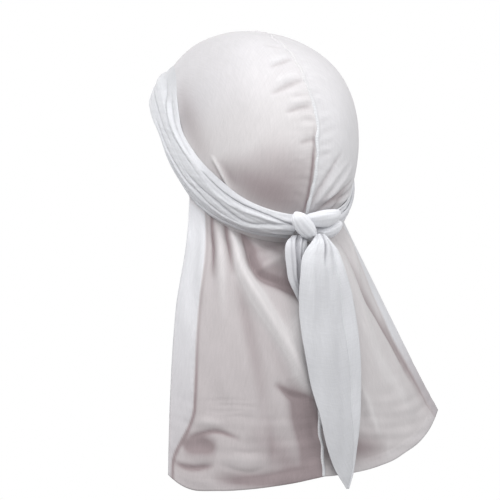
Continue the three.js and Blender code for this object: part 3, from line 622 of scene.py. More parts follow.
# What differs from side to side, the painted shade too: its base amount over the cape, how it deepens
# down the side hem, a line of it beside the hem's inner edge, and how the crown's paler colour fades
# into it. Each triple holds how much, from where down the cape and over what share of it.
SIDES = {
    1: dict(
        sections=LEFT_SECTIONS,
        crown_folds=LEFT_CROWN_FOLDS,
        crown_shade=LEFT_CROWN_SHADE,
        cape_folds=LEFT_CAPE_FOLDS,
        cape_shade=LEFT_CAPE_SHADE,
        seed=0,
        pale_fades_to_shade=1,
        sheer_shade=0.36,
        hem_shade=(0.45, 0.2, 0.8),
        hem_narrowing=(0.85, 0.72, 0.24),
        hem_edge_shade=1,
    ),
    -1: dict(
        sections=RIGHT_SECTIONS,
        crown_folds=RIGHT_CROWN_FOLDS,
        crown_shade=RIGHT_CROWN_SHADE,
        cape_folds=RIGHT_CAPE_FOLDS,
        cape_shade=RIGHT_CAPE_SHADE,
        seed=1,
        pale_fades_to_shade=0,
        sheer_shade=0.06,
        hem_shade=(0.58, 0.5, 0.45),
        hem_narrowing=(0.62, 0.3, 0.5),
        hem_edge_shade=0.5,
    ),
}

# %% Heights of folds
ONE_DEGREE = np.radians(1) * 90 * MM  # along the crown, round from the seam
CAPE_CLOTH = 118 * MM  # across one side of the cape
# Painted shade that deepens towards the bottom of the cape.
SHADE_LOWER_DOWN = 0.14
GATHERS, CROWN_WAVES, CAPE_WAVES, CAPE_WRINKLES = 0.22 * MM, 0.25 * MM, 0.55 * MM, 0.32 * MM


def folds_on(x, y, folds, x_size, y_size):
    """The sum of the creases, whose places are scaled to metres along both axes."""
    total = np.zeros(x.shape)
    for places, height, width, sharp in folds:
        scaled = np.asarray(places) * [x_size, y_size]
        total += crease(x * x_size, y * y_size, scaled, height, width * MM, sharp)
    return total


def crown_relief(this, around, share):
    """The height of the crown's folds, gathers and ripples, and its painted shade: in fold hollows and
    over the front half, a painted highlight on fold ridges, and the darker look of sheer cloth.
    """
    x, y = around * ONE_DEGREE, share * CROWN_RUN
    off_seam = smooth((x - 0.3 * MM) / (1.5 * MM))
    folds = folds_on(around, share, this["crown_folds"], ONE_DEGREE, CROWN_RUN) * MM * off_seam
    sheer_shade = folds_on(around, share, this["crown_shade"], ONE_DEGREE, CROWN_RUN)
    # Painted shade in the hollows of folds, and a painted highlight on their ridges.
    sheer_shade = sheer_shade + 0.3 * smooth(-folds / (1.2 * MM)) - 0.5 * smooth(folds / (1.8 * MM))
    # A little painted shade over the crown's front half.
    sheer_shade = sheer_shade + 0.13 * smooth((0.8 - share) / 0.3)
    near_seam = bell(x / (16 * MM)) * off_seam * smooth((share - 0.1) / 0.1)
    gathers = GATHERS * near_seam * ripples(y, x, 6, 14 * MM, 6 * MM, 11 + this["seed"])
    waves = CROWN_WAVES * off_seam * ripples(x, y, 7, 90 * MM, 30 * MM, 21 + this["seed"])
    return folds + gathers + waves, sheer_shade


def cape_relief(this, across, down):
    """The height of the cape's folds and ripples, and its painted shade: a base amount with the darker
    look of sheer cloth, more towards the bottom and in fold hollows, a painted highlight on fold ridges.
    """
    x, y = across * CAPE_CLOTH, down * CAPE_LENGTH
    folds = folds_on(across, down, this["cape_folds"], CAPE_CLOTH, CAPE_LENGTH) * MM
    sheer_shade = folds_on(across, down, this["cape_shade"], CAPE_CLOTH, CAPE_LENGTH)
    # Each side's base amount, partly painted shade and partly the darker look of sheer single cloth, grows by
    # painted shade towards the bottom.
    sheer_shade = sheer_shade + this["sheer_shade"] + SHADE_LOWER_DOWN * down
    # Painted shade in fold hollows, and a painted highlight on fold ridges.
    sheer_shade = sheer_shade + 0.3 * smooth(-folds / (4 * MM)) - 0.4 * smooth(folds / (4 * MM))
    waves = CAPE_WAVES * ripples(x, y, 6, 60 * MM, 18 * MM, 31 + this["seed"])
    low = smooth((down - 0.6) / 0.25)
    wrinkles = CAPE_WRINKLES * low * ripples(y, x, 7, 36 * MM, 8 * MM, 61 + this["seed"])
    fade = smooth((down + 0.01) / 0.09) * smooth(across / 0.05) * (1 - 0.5 * smooth((across - 0.9) / 0.1))
    return (folds + waves + wrinkles) * fade, sheer_shade


# %% Panel grids
CROWN_ROWS, TUCK_ROWS, CAPE_ROWS, PANEL_COLUMNS = 222, 9, 164, 116
CAPE_START = CROWN_ROWS + TUCK_ROWS
SIDE_HEM, BOTTOM_HEM, HEM_EDGE = 19 * MM, 8 * MM, 1.2 * MM
HEM_RISE, HEM_SINK, HEM_TUG, HEM_STITCH_INSET = 0.7 * MM, 0.28 * MM, 0.1 * MM, 1.6 * MM


def panel(side):
    """One panel: the form's points moved along its normals by its folds, hems and ripples. It also
    gives, for each point of the cape, how far it lies inside the side hem and the bottom hem."""
    this = SIDES[side]
    u = np.linspace(0, 1, PANEL_COLUMNS)[None, :]
    q = np.linspace(0, 1, CROWN_ROWS)[:, None]
    around = u * mix(SIDE_END, CAPE_CORNER, smooth((q - 0.86) / 0.14))
    share, around = np.broadcast_arrays(q, around)
    tuck = np.linspace(0, 1, TUCK_ROWS + 2)[1:-1, None]
    down, across = np.broadcast_arrays(np.linspace(0, 1, CAPE_ROWS)[:, None], u)
    cape_base = cape_form(this["sections"], across, down)
    base = np.concatenate([crown_form(share, around), tuck_form(u, tuck), cape_base])
    normals = unit(np.cross(np.gradient(base, axis=1), np.gradient(base, axis=0)))
    crown, crown_sheer_shade = crown_relief(this, around, share)
    cape, cape_sheer_shade = cape_relief(this, across, down)

    amount, start, over = this["hem_narrowing"]
    hem_width = SIDE_HEM * (1 - amount * smooth((down - start) / over))
    in_side = run_length(cape_base[:, ::-1], 1)[:, ::-1] - hem_width
    in_bottom = run_length(cape_base[::-1], 0)[::-1] - BOTTOM_HEM
    inside = np.minimum(in_side, in_bottom)
    free = smooth(down / 0.03)
    doubled = smooth(0.5 - inside / HEM_EDGE) * free
    sewn = bell((inside + HEM_STITCH_INSET) / (1.5 * MM))
    along = np.where(in_side < in_bottom, down * CAPE_LENGTH, across * CAPE_CLOTH)
    tug = sewn * np.sin(2 * np.pi * along / (6.4 * MM))
    hem = HEM_RISE * doubled - HEM_SINK * sewn * free + HEM_TUG * tug
    cape = cape + hem * smooth(across / 0.04)

    # Painted shade down the side hem, deeper lower down, and a line of painted shade on the cloth just inside
    # the hem's inner edge.
    amount, start, over = this["hem_shade"]
    side_hem = smooth(0.5 - in_side / HEM_EDGE)
    hem_edge_shading = bell((in_side - 1.5 * MM) / (1.4 * MM)) * mix(0.25, 0.8, smooth((down - 0.4) / 0.4))
    cape_sheer_shade = cape_sheer_shade + this["hem_edge_shade"] * hem_edge_shading
    cape_sheer_shade = mix(cape_sheer_shade, amount * smooth((down - start) / over), side_hem)
    # The bottom hem keeps little of its paler doubled colour, which paints it in shade.
    doubled = doubled * mix(0.15, 1.0, side_hem)
    # The crown takes part of the paler doubled colour; on the left it fades out towards the knot, into the
    # crown's painted shade.
    cool = 0.6 * (1 - this["pale_fades_to_shade"] * smooth((share - 0.5) / 0.3))

    held = np.zeros((TUCK_ROWS, PANEL_COLUMNS))
    points = base + normals * np.concatenate([crown, held, cape])[..., None]
    points[:, 0, 0] = 0
    sway = np.zeros((len(points), 1))
    sway[:CROWN_ROWS] = seam_sway(q)
    points[..., 0] = swayed(side * (np.maximum(points[..., 0], 0) + SEAM_GAP / 2), sway)
    doubled = np.concatenate([cool, held, doubled])
    sheer_and_shade = np.clip(np.concatenate([crown_sheer_shade, held, cape_sheer_shade]), 0, 1)
    return points, normals * [side, 1, 1], doubled, sheer_and_shade, in_side, in_bottom


panels = {}
for name, side in (("left", 1), ("right", -1)):
    points, normals, doubled, sheer_and_shade, in_side, in_bottom = panel(side)
    faces = grid_faces(*points.shape[:2], flip=side > 0)
    uv = np.stack([run_length(points, 1), run_length(points, 0)], -1)
    node = name + "_panel"
    look = uv, doubled, sheer_and_shade, panel_cloth, "panel_cloth"
    piece = make_piece(node + "_cloth", points, faces, *look, node)
    thicken(piece, PANEL_WALL, offset=-1)
    panels[name] = piece, points, normals, in_side, in_bottom

# %% [markdown]
# ## Hem stitches
# A hem is sewn by one straight row a little inside its fold. The row follows the line on the cloth
# where the distance to the edge is the hem's width less an inset.


# %% Rows of hem stitches
SIDE_ROWS, BOTTOM_COLUMNS = slice(6, CAPE_ROWS - 8), slice(2, PANEL_COLUMNS - 14)


def level_line(values, level, points, axis):
    """Where values, which fall along an axis of the grid, pass a level: in each line of the grid the
    two cells around it are found and the point between them is taken."""
    if axis == 0:
        values, points = values.T, points.transpose(1, 0, 2)
    k = np.clip((values > level).sum(1) - 1, 0, values.shape[1] - 2)
    row = np.arange(len(values))
    a, b = values[row, k], values[row, k + 1]
    s = np.clip((a - level) / np.maximum(a - b, 1e-9), 0, 1)[:, None]
    return points[row, k] * (1 - s) + points[row, k + 1] * s


for name, (piece, points, normals, in_side, in_bottom) in panels.items():
    lines, turned = [
        [
            level_line(in_side, -HEM_STITCH_INSET, grid[CAPE_START:], 1)[SIDE_ROWS],
            level_line(in_bottom, -HEM_STITCH_INSET, grid[CAPE_START:], 0)[BOTTOM_COLUMNS],
        ]
        for grid in (points, normals)
    ]
    stitches = stitch_rows(name + "_hem_stitches", lines, turned)
    cloth_area(piece)

# %% [markdown]
# ## The centre seam
# The two panels are sewn with their edges outwards, so the seam stands up as a narrow overlocked
# ridge. It isn't quite straight: the thread pulls it a little to each side, most over the top. The
# ridge is a half-round profile carried along the seam line.

# %% Seam ridge
SEAM_WIDTH, SEAM_HEIGHT, SEAM_LIFT, LOOP_PITCH = 3.2 * MM, 1.3 * MM, 0.1 * MM, 2.2 * MM
SEAM_FIRST_ROW, SEAM_STATIONS, SEAM_SIDES = 14, 1100, 15
TOP_END, TOP_FADE = 0.235, 0.06  # metres along the seam, where it leaves the crown's top

seam_rows = panels["left"][1][SEAM_FIRST_ROW:, 0] - [SEAM_GAP / 2, 0, 0]
seam_run = run_length(seam_rows, 0)
even = np.linspace(0, seam_run[-1] - 0.5 * MM, SEAM_STATIONS)
seam_line = points_at(even, seam_run, seam_rows)
over_top = smooth((TOP_END - even) / TOP_FADE)
wiggle = mix(0.5, 1.2, over_top) * MM * ripples(even, 0 * even, 7, 70 * MM, 9 * MM, 5)
lean = 0.25 * ripples(even, 0 * even, 4, 80 * MM, 20 * MM, 6)[:, None]
to_left = np.array([1.0, 0, 0])
seam_ahead = unit(np.gradient(seam_line, axis=0))
seam_side = unit(to_left * np.cos(lean) + np.cross(to_left, seam_ahead) * np.sin(lean))
seam_up = np.cross(seam_side, seam_ahead)

turn = np.linspace(-0.12, 1.12, SEAM_SIDES) * np.pi
loop = 1 + 0.10 * np.sin(2 * np.pi * even / LOOP_PITCH)[:, None]
uneven = 1 + 0.12 * ripples(even, 0 * even, 5, 25 * MM, 7 * MM, 8)[:, None]
across = -np.cos(turn) * SEAM_WIDTH / 2 * uneven
up = np.sin(turn) * SEAM_HEIGHT * uneven * loop + SEAM_LIFT
seam_points = seam_line[:, None] + to_left * wiggle[:, None, None]
seam_points = seam_points + seam_side[:, None] * across[..., None] + seam_up[:, None] * up[..., None]
seam_uv = np.stack(np.broadcast_arrays(np.linspace(0, 6 * MM, SEAM_SIDES), even[:, None]), -1)
seam_faces = tube_faces(SEAM_STATIONS, SEAM_SIDES)
marks = 1 - 0.9 * over_top[:, None], 0.42 * over_top[:, None]
make_piece(
    "centre_seam_ridge", seam_points, seam_faces, seam_uv, *marks, seam_cloth, "seam_cloth", "centre_seam"
)

# %% [markdown]
# ## The straps
# Each strap is a wide band of cloth, gathered into running pleats as it goes round. The section is a
# closed profile carried along the strap's line: a flat inside, and an outside whose height is the sum
# of its pleats. Grooves are sharp, as cloth folds over itself there, and lie on lines that wander up
# and down the band and run together at the knot.

# %% Pleat lines
WRAP_SHIFT, WRAP_SPREAD = 3.5 * MM, 18 * MM
# Each pleat: places as (along, millimetres up from the middle line), its height and width in
# millimetres, and its sharpness. Below 0 it is a groove.
OUTER_LEFT = [
    ([(-1.0, 5.5), (-0.93, 6.0), (-0.864, 8.0), (-0.811, 9.4), (-0.742, 10.3), (-0.677, 10.4),
      (-0.60, 10.9), (-0.50, 11.9), (-0.40, 12.8)], -2.1, 1.0, 1.2),
    ([(-1.0, 4.0), (-0.864, 6.2), (-0.78, 7.8), (-0.68, 6.9), (-0.56, 6.2), (-0.4, 7.5)], 0.7, 1.6, 2),
    ([(-0.93, 5.0), (-0.871, 5.1), (-0.82, 3.0), (-0.76, -0.9), (-0.70, -1.9), (-0.635, -0.4),
      (-0.54, 1.6), (-0.42, 1.0), (-0.3, 0.6)], -1.3, 1.2, 1.3),
    ([(-0.97, 2.2), (-0.887, 2.6), (-0.831, -0.7), (-0.771, -3.6), (-0.70, -6.2),
      (-0.6, -7.5)], 1.0, 2.6, 2),
    ([(-0.70, -5.0), (-0.62, -5.4), (-0.522, -5.2), (-0.457, -3.8), (-0.357, -5.0), (-0.2, -4.6),
      (-0.05, -4.6), (0.15, -4.0)], -1.2, 1.1, 1.3),
    ([(-0.62, -8.8), (-0.495, -7.7), (-0.402, -7.1), (-0.31, -6.8), (-0.175, -6.4), (0.0, -6.5),
      (0.2, -6.0)], 0.6, 1.3, 2),
    ([(-0.56, -11.0), (-0.46, -10.8), (-0.36, -9.6), (-0.25, -8.8), (-0.1, -8.6),
      (0.1, -8.5)], -1.0, 1.0, 1.3),
    ([(-0.34, 9.4), (-0.19, 9.7), (-0.061, 8.6), (0.061, 10.0), (0.15, 13.0), (0.25, 18.0),
      (0.36, 22.0)], -1.3, 1.0, 1.3),
    ([(-0.28, 13.4), (-0.126, 14.0), (0.006, 14.6), (0.11, 17.5), (0.2, 22.0)], -1.0, 0.9, 1.3),
    ([(-0.26, 11.6), (-0.12, 11.9), (0.0, 11.8), (0.08, 13.4), (0.18, 17.5)], 0.7, 1.8, 2),
    ([(-0.1, 3.0), (0.05, 1.5), (0.2, 3.0), (0.4, 4.5), (0.6, 4.0)], -1.1, 1.1, 1.3),
    ([(0.3, -3.0), (0.5, -1.0), (0.7, -2.5), (0.9, -2.0)], -1.0, 1.0, 1.3),
    ([(0.3, 9.0), (0.5, 7.0), (0.7, 8.0), (0.9, 7.0)], -1.0, 1.0, 1.3),
]
INNER_LEFT = [
    ([(-0.98, -7.5), (-0.887, -12.1), (-0.822, -13.2), (-0.762, -15.0), (-0.70, -16.6), (-0.633, -18.0),
      (-0.5, -20.0), (-0.38, -18.5), (-0.2, -15.0)], -1.0, 0.8, 1.2),
    ([(-0.95, -5.0), (-0.85, -10.0), (-0.75, -12.6), (-0.6, -14.5), (-0.45, -16.6), (-0.3, -14.6),
      (-0.1, -12.0)], -0.9, 0.9, 1.3),
    ([(-0.5, -22.3), (-0.4, -21.0), (-0.3, -18.0), (-0.15, -15.0), (0.0, -13.5)], 0.5, 1.2, 2),
]
OUTER_RIGHT = [
    ([(-1.0, -2.0), (-0.9, -3.0), (-0.75, -1.0), (-0.6, -2.0), (-0.4, 0.0), (-0.2, -1.5),
      (0.0, 0.0)], -1.6, 1.0, 1.2),
    ([(-1.0, -6.0), (-0.85, -8.5), (-0.65, -8.0), (-0.45, -9.5), (-0.25, -8.5),
      (0.0, -9.5)], -1.4, 0.9, 1.3),
    ([(-1.0, 1.0), (-0.85, 3.5), (-0.65, 3.0), (-0.4, 5.0), (-0.15, 4.0), (0.1, 5.0)], -1.2, 1.0, 1.3),
    ([(-0.3, -12.5), (-0.1, -11.0), (0.1, -12.0), (0.4, -10.0), (0.7, -8.5)], -1.0, 0.9, 1.3),
    ([(-0.2, -5.0), (0.0, -4.5), (0.3, -6.0), (0.6, -4.5), (0.9, -2.5)], -1.3, 1.0, 1.2),
    ([(0.0, 1.5), (0.3, -0.5), (0.6, 1.0), (0.9, 0.5)], -1.2, 1.0, 1.3),
    ([(0.1, 6.5), (0.4, 5.5), (0.7, 7.0), (0.95, 6.5)], -1.1, 1.0, 1.3),
]
INNER_RIGHT = [
    ([(-0.95, 9.0), (-0.8, 11.5), (-0.6, 12.0), (-0.4, 13.0), (-0.15, 12.0), (0.1, 13.0)], -0.9, 0.8, 1.3),
    ([(-0.2, 14.5), (0.1, 15.0), (0.4, 13.5), (0.7, 12.5)], -0.8, 0.8, 1.3),
]

# %% Strap surface
WRAP_STATIONS, OUTSIDE_POINTS, INSIDE_POINTS = 520, 96, 10
STRAP_HALF_WIDTH, OUTER_THICKNESS, INNER_THICKNESS = 13.5 * MM, 3.2 * MM, 2.0 * MM
OUTER_FOOT, INNER_FOOT, INNER_TOP = 0.9 * MM, 0.66 * MM, 2.2 * MM  # heights over the form
THINNEST, INNER_DROOP, EDGE_RIPPLE, FINE_RIPPLE = 0.5 * MM, 4 * MM, 0.5 * MM, 0.12 * MM
STRAP_START, STRAP_END = 0.012, 0.988  # shares of the way round, both in the knot
ALONG_SIZE = 150 * MM  # one quarter of the way round
PLEAT_GAIN = 1.25


def strap_half(along):
    """Half the width of a strap: both narrow where they run into the knot."""
    return STRAP_HALF_WIDTH * mix(0.68, 1.0, smooth((along + 1) / 0.55))


def wrap_middle(turn, sign):
    """How far a strap's own middle lies up from the pair's: it crosses over at the front."""
    return sign * WRAP_SHIFT * np.cos(turn * np.pi)


def over_inner(up, turn, along):
    """The height of the inner strap where the outer one lies on it."""
    beyond = up - wrap_middle(turn, -1) - strap_half(along)
    return INNER_TOP * smooth((6 * MM - beyond) / (5 * MM))


def strap(name, sign, thickness, left_pleats, right_pleats, crest, node):
    """A closed profile carried round the straps' line: each point is on the form at its distance up
    from that line, moved out by the foot, the body and the pleats. The sign is 1 for the outer strap,
    which opens towards the front on the left, and -1 for the inner one, which droops near the knot."""
    is_outer = sign > 0
    turn = np.linspace(STRAP_START, STRAP_END, WRAP_STATIONS)[:, None]
    side = np.where(turn <= 0.5, 1.0, -1.0)
    along = 1 - 4 * np.abs(turn - 0.5)
    outside = np.sin(np.linspace(-1, 1, OUTSIDE_POINTS) * np.pi / 2 * 0.999)
    place = np.append(outside, np.linspace(0.97, -0.97, INSIDE_POINTS))[None, :]
    is_outside = np.arange(place.size) < OUTSIDE_POINTS
    up = wrap_middle(turn, sign) + place * strap_half(along)
    droop = 0 if is_outer else INNER_DROOP * bell((along + 0.5) / 0.24)
    rise = WRAP_SPREAD * bell((along - 0.36) / 0.27) * (side > 0) if is_outer else 0 * along
    up = up - np.maximum(0, -place) * droop + np.maximum(0, place) * rise
    up = up + EDGE_RIPPLE * ripples(turn * 0.6, 0 * place, 5, 90 * MM, 30 * MM, 40 + sign) * np.abs(place) ** 3

    distance = np.broadcast_to(along * ALONG_SIZE, up.shape)
    relief = np.zeros(up.shape)
    for pleats, here in ((left_pleats, side > 0), (right_pleats, side < 0)):
        for places, height, width, sharp in pleats:
            scaled = np.asarray(places) * [ALONG_SIZE, MM]
            relief += here * crease(distance, up, scaled, height * MM, width * MM, sharp, 0.3, 0.3)
    fine = ripples(up, distance, 7, 6 * MM, 2.2 * MM, 50 + sign)
    relief += FINE_RIPPLE * fine * smooth((1 - np.abs(place)) / 0.15)
    relief += crest * MM * bell((along + 1.0) / 0.25) * np.cos(place * 9 + along * 5) * 0.5
    relief = relief * PLEAT_GAIN
    open_edge = smooth((place - 0.2) / 0.75) * rise / WRAP_SPREAD
    flatter = 0.7 * thickness * open_edge
    relief = relief * (1 - 0.5 * open_edge) - flatter
    round_edge = np.sqrt(np.maximum(0.02, 1 - np.abs(place) ** 5))
    body = np.maximum(THINNEST, thickness + relief) * round_edge
    foot = OUTER_FOOT + over_inner(up, turn, along) if is_outer else INNER_FOOT
    height = foot + np.where(is_outside, body, 0)
    points = beside_wrap_line(np.broadcast_to(along, up.shape), up)
    points = points + form_normal(points) * height[..., None]
    points[..., 0] *= side

    uv = np.stack([run_length(points, 1), run_length(points, 0)], -1)
    # Painted shade: on the outer strap's upper part, about halfway from the knot to each side, and in the
    # grooves between the pleats.
    strap_painted_shade = 0.45 * bell((along + 0.54) / 0.18) * smooth((place - 0.2) / 0.4) * is_outer
    groove_shade = 0.6 * smooth(-(relief + flatter) / (1.6 * MM))
    look = uv, 0.42 * (1 - open_edge), np.maximum(groove_shade, strap_painted_shade), strap_cloth, "strap_cloth"
    return make_piece(name, points, tube_faces(*points.shape[:2]), *look, node)


for piece in (
    strap("outer_strap", 1, OUTER_THICKNESS, OUTER_LEFT, OUTER_RIGHT, 0.8, "outer_wrap"),
    strap("inner_strap", -1, INNER_THICKNESS, INNER_LEFT, INNER_RIGHT, 0.5, "inner_wrap"),
):
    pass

# %% [markdown]
# ## The knot
# The knot is three thick strands of gathered cloth: one bulges across the top, one turns under it to
# the right, and the last folds over both from the upper left to the lower right. Each is an oval,
# pleated profile carried along a smooth curve through a few places.
# curve through a few places, given as shares of the knot's width, height and depth.

# %% Knot strands
KNOT_WIDTH, KNOT_HEIGHT, KNOT_DEPTH = 46 * MM, 30 * MM, 19 * MM
KNOT_FOOT = 2.2 * MM
KNOT_OUT = form_normal(KNOT_SEAT)
KNOT_UP = np.cross([1, 0, 0], KNOT_OUT)
KNOT_MIDDLE = beside_wrap_line(-1.0, 6 * MM) + [-4.5 * MM, 0, 0]


def knot_place(x, up, out):
    """The knot's middle, moved to the left, up the crown and out from it."""
    p = KNOT_MIDDLE + np.multiply.outer(x, [KNOT_WIDTH / 2, 0, 0])
    p = p + np.multiply.outer(up, KNOT_UP * KNOT_HEIGHT / 2)
    return p + np.multiply.outer(KNOT_FOOT + np.asarray(out) * KNOT_DEPTH, KNOT_OUT)


def oval(x):
    """A cosine or sine, made a little fuller, so that the profile is nearer to a rounded square."""
    return np.sign(x) * np.abs(x) ** 0.85


STRAND_STATIONS, STRAND_SIDES = 150, 96


def strand(name, rows, pleats, seed, ridge, doubled, node=None):
    """An oval carried along a smooth curve, with ridges that run along it: the radius shrinks by a sum
    of waves around the oval, whose phase drifts along the strand."""
    rows = rounded(rows, STRAND_STATIONS)
    line = knot_place(rows[:, 0], rows[:, 1], rows[:, 2])
    ahead = unit(np.gradient(line, axis=0))
    wide = unit(np.cross(ahead, KNOT_OUT))
    out = np.cross(wide, ahead)
    run = run_length(line, 0)[:, None]
    turn = np.linspace(0, 2 * np.pi, STRAND_SIDES, endpoint=False)[None, :]
    draw = np.random.default_rng(seed)
    relief = np.zeros((STRAND_STATIONS, STRAND_SIDES))
    for k in pleats:
        drift = draw.uniform(0, 2 * np.pi) + draw.normal(0, 18) * run
        wave = np.cos(k * turn + drift)
        relief += draw.uniform(0.6, 1.0) * (1 - np.abs(wave) ** 0.7) / len(pleats)
    from_middle = np.abs(np.linspace(-1, 1, STRAND_STATIONS))[:, None]
    radius = (1 - ridge * relief) * np.sqrt(np.clip(1 - from_middle**8, 0.02, 1))
    across = rows[:, 3:4] * KNOT_HEIGHT * oval(np.cos(turn)) * radius
    away = rows[:, 4:5] * KNOT_DEPTH * oval(np.sin(turn)) * radius
    points = line[:, None] + wide[:, None] * across[..., None] + out[:, None] * away[..., None]
    uv = np.stack(np.broadcast_arrays(turn * 5 * MM, run), -1)
    # Painted shade in the strand's grooves.
    look = uv, doubled, 0.15 * relief, strap_cloth, "strap_cloth"
    make_piece(name, points, tube_faces(STRAND_STATIONS, STRAND_SIDES, flip=True), *look, node)


# Rows: the place to the left, up and out, as shares of the knot's half width, half height and depth,
# then half the strand's size across and out, as shares of the knot's height and depth.
BULGE = [
    (-1.04, 0.74, 0.16, 0.14, 0.12),
    (-0.82, 0.76, 0.28, 0.24, 0.20),
    (-0.50, 0.76, 0.38, 0.29, 0.27),
    (-0.18, 0.72, 0.38, 0.28, 0.27),
    (0.14, 0.60, 0.32, 0.23, 0.22),
    (0.50, 0.52, 0.24, 0.17, 0.16),
]
FOLD_OVER = [
    (1.00, 1.06, 0.26, 0.10, 0.10),
    (0.88, 0.86, 0.46, 0.21, 0.18),
    (0.60, 0.47, 0.58, 0.25, 0.21),
    (0.28, 0.07, 0.60, 0.23, 0.21),
    (0.02, -0.28, 0.52, 0.18, 0.18),
    (-0.18, -0.56, 0.38, 0.12, 0.13),
    (-0.28, -0.72, 0.24, 0.06, 0.08),
]
LOWER_TURN = [
    (-0.15, -0.35, 0.30, 0.14, 0.16),
    (-0.55, -0.30, 0.38, 0.22, 0.24),
    (-0.95, -0.12, 0.32, 0.23, 0.22),
    (-1.35, 0.14, 0.14, 0.16, 0.14),
]
strand("knot_bulge", BULGE, (2, 3), 3, ridge=0.16, doubled=0.64)
strand("knot_lower_turn", LOWER_TURN, (2, 5), 9, ridge=0.15, doubled=0.8)
strand("knot_fold_over", FOLD_OVER, (2, 5), 4, ridge=0.2, doubled=0.9, node="knot")

# %% [markdown]
# ## The tie ends
# A tie end is doubled cloth, gathered to a point where it leaves the knot, then flat, and cut to a
# point. One long edge is folded back over the outside as a strip. The section is a path across the
# end: over its width, round the fold and back along the strip. The gathers fan out from the knot and
# fade.

# %% Tie ends
LONG_END_SIZE, SHORT_END_SIZE = (207 * MM, 53 * MM), (66 * MM, 26 * MM)
END_STAND_OFF, FOLD_RADIUS = 20 * MM, 0.35 * MM
END_HEM, END_HEM_WIDTH, END_RIPPLE, END_SWAY = 0.5 * MM, 2.2 * MM, 0.35 * MM, 0.9 * MM
# Rows: drop, across, lift, half width, strip width and arch, the last two in millimetres.
LONG_END = [
    (0.00, -0.130, 1.24, 0.070, 1.5, 3.0),
    (0.03, -0.115, 1.22, 0.180, 3.0, 5.0),
    (0.06, -0.105, 1.10, 0.290, 5.5, 5.0),
    (0.10, -0.097, 0.90, 0.372, 8.0, 4.5),
    (0.16, -0.110, 0.72, 0.431, 10.5, 3.5),
    (0.24, -0.121, 0.60, 0.493, 12.5, 2.6),
    (0.34, -0.132, 0.53, 0.523, 14.3, 2.0),
    (0.45, -0.145, 0.50, 0.517, 13.2, 1.7),
    (0.57, -0.172, 0.48, 0.475, 11.2, 1.5),
    (0.70, -0.198, 0.47, 0.385, 9.0, 1.3),
    (0.82, -0.200, 0.46, 0.295, 4.2, 1.1),
    (0.92, -0.232, 0.45, 0.180, 1.8, 0.8),
    (1.00, -0.271, 0.44, 0.020, 0.5, 0.2),
]
SHORT_END = [
    (0.00, 0.199, 0.80, 0.216, 4.0, 3.0),
    (0.08, 0.295, 0.82, 0.364, 8.0, 3.5),
    (0.20, 0.340, 0.72, 0.404, 12.0, 3.5),
    (0.36, 0.359, 0.55, 0.389, 14.0, 3.0),
    (0.55, 0.360, 0.40, 0.340, 12.0, 2.4),
    (0.75, 0.255, 0.30, 0.280, 9.0, 1.6),
    (0.90, 0.200, 0.26, 0.170, 5.0, 1.0),
    (1.00, 0.160, 0.24, 0.040, 1.0, 0.3),
]
# Creases of the long end: places as (millimetres over it, millimetres down), height, width, sharpness.
LONG_CREASES = [
    ([(0.0, -4), (0.5, 4), (1.5, 14), (1.0, 27)], -2.2, 1.5, 1.5),
    ([(-4, 2), (-8, 16), (-12, 40), (-13, 70)], 1.0, 3.0, 2),
    ([(5, 4), (9, 16), (11, 36)], -0.9, 2.0, 1.8),
    ([(6, 60), (4, 100), (3, 140), (1, 180)], -0.5, 4.0, 2),
]
SHORT_CREASES = [
    ([(2, -6), (0.5, 10), (-0.5, 26), (-1, 50)], -4.0, 1.9, 1.7),
    ([(6, -4), (5.5, 12), (4.5, 30), (2, 50)], -1.3, 1.2, 1.6),
    ([(-5, -4), (-4.5, 8), (-4, 22)], -1.6, 1.2, 1.6),
]


def behind_cape(z):
    """How far back the cape's outside hangs at a height, on the seam."""
    down = np.clip((KNOT_SEAT[2] - z) / CAPE_LENGTH, 0, 1)
    return cape_form(LEFT_SECTIONS, np.zeros_like(down), down)[..., 1]


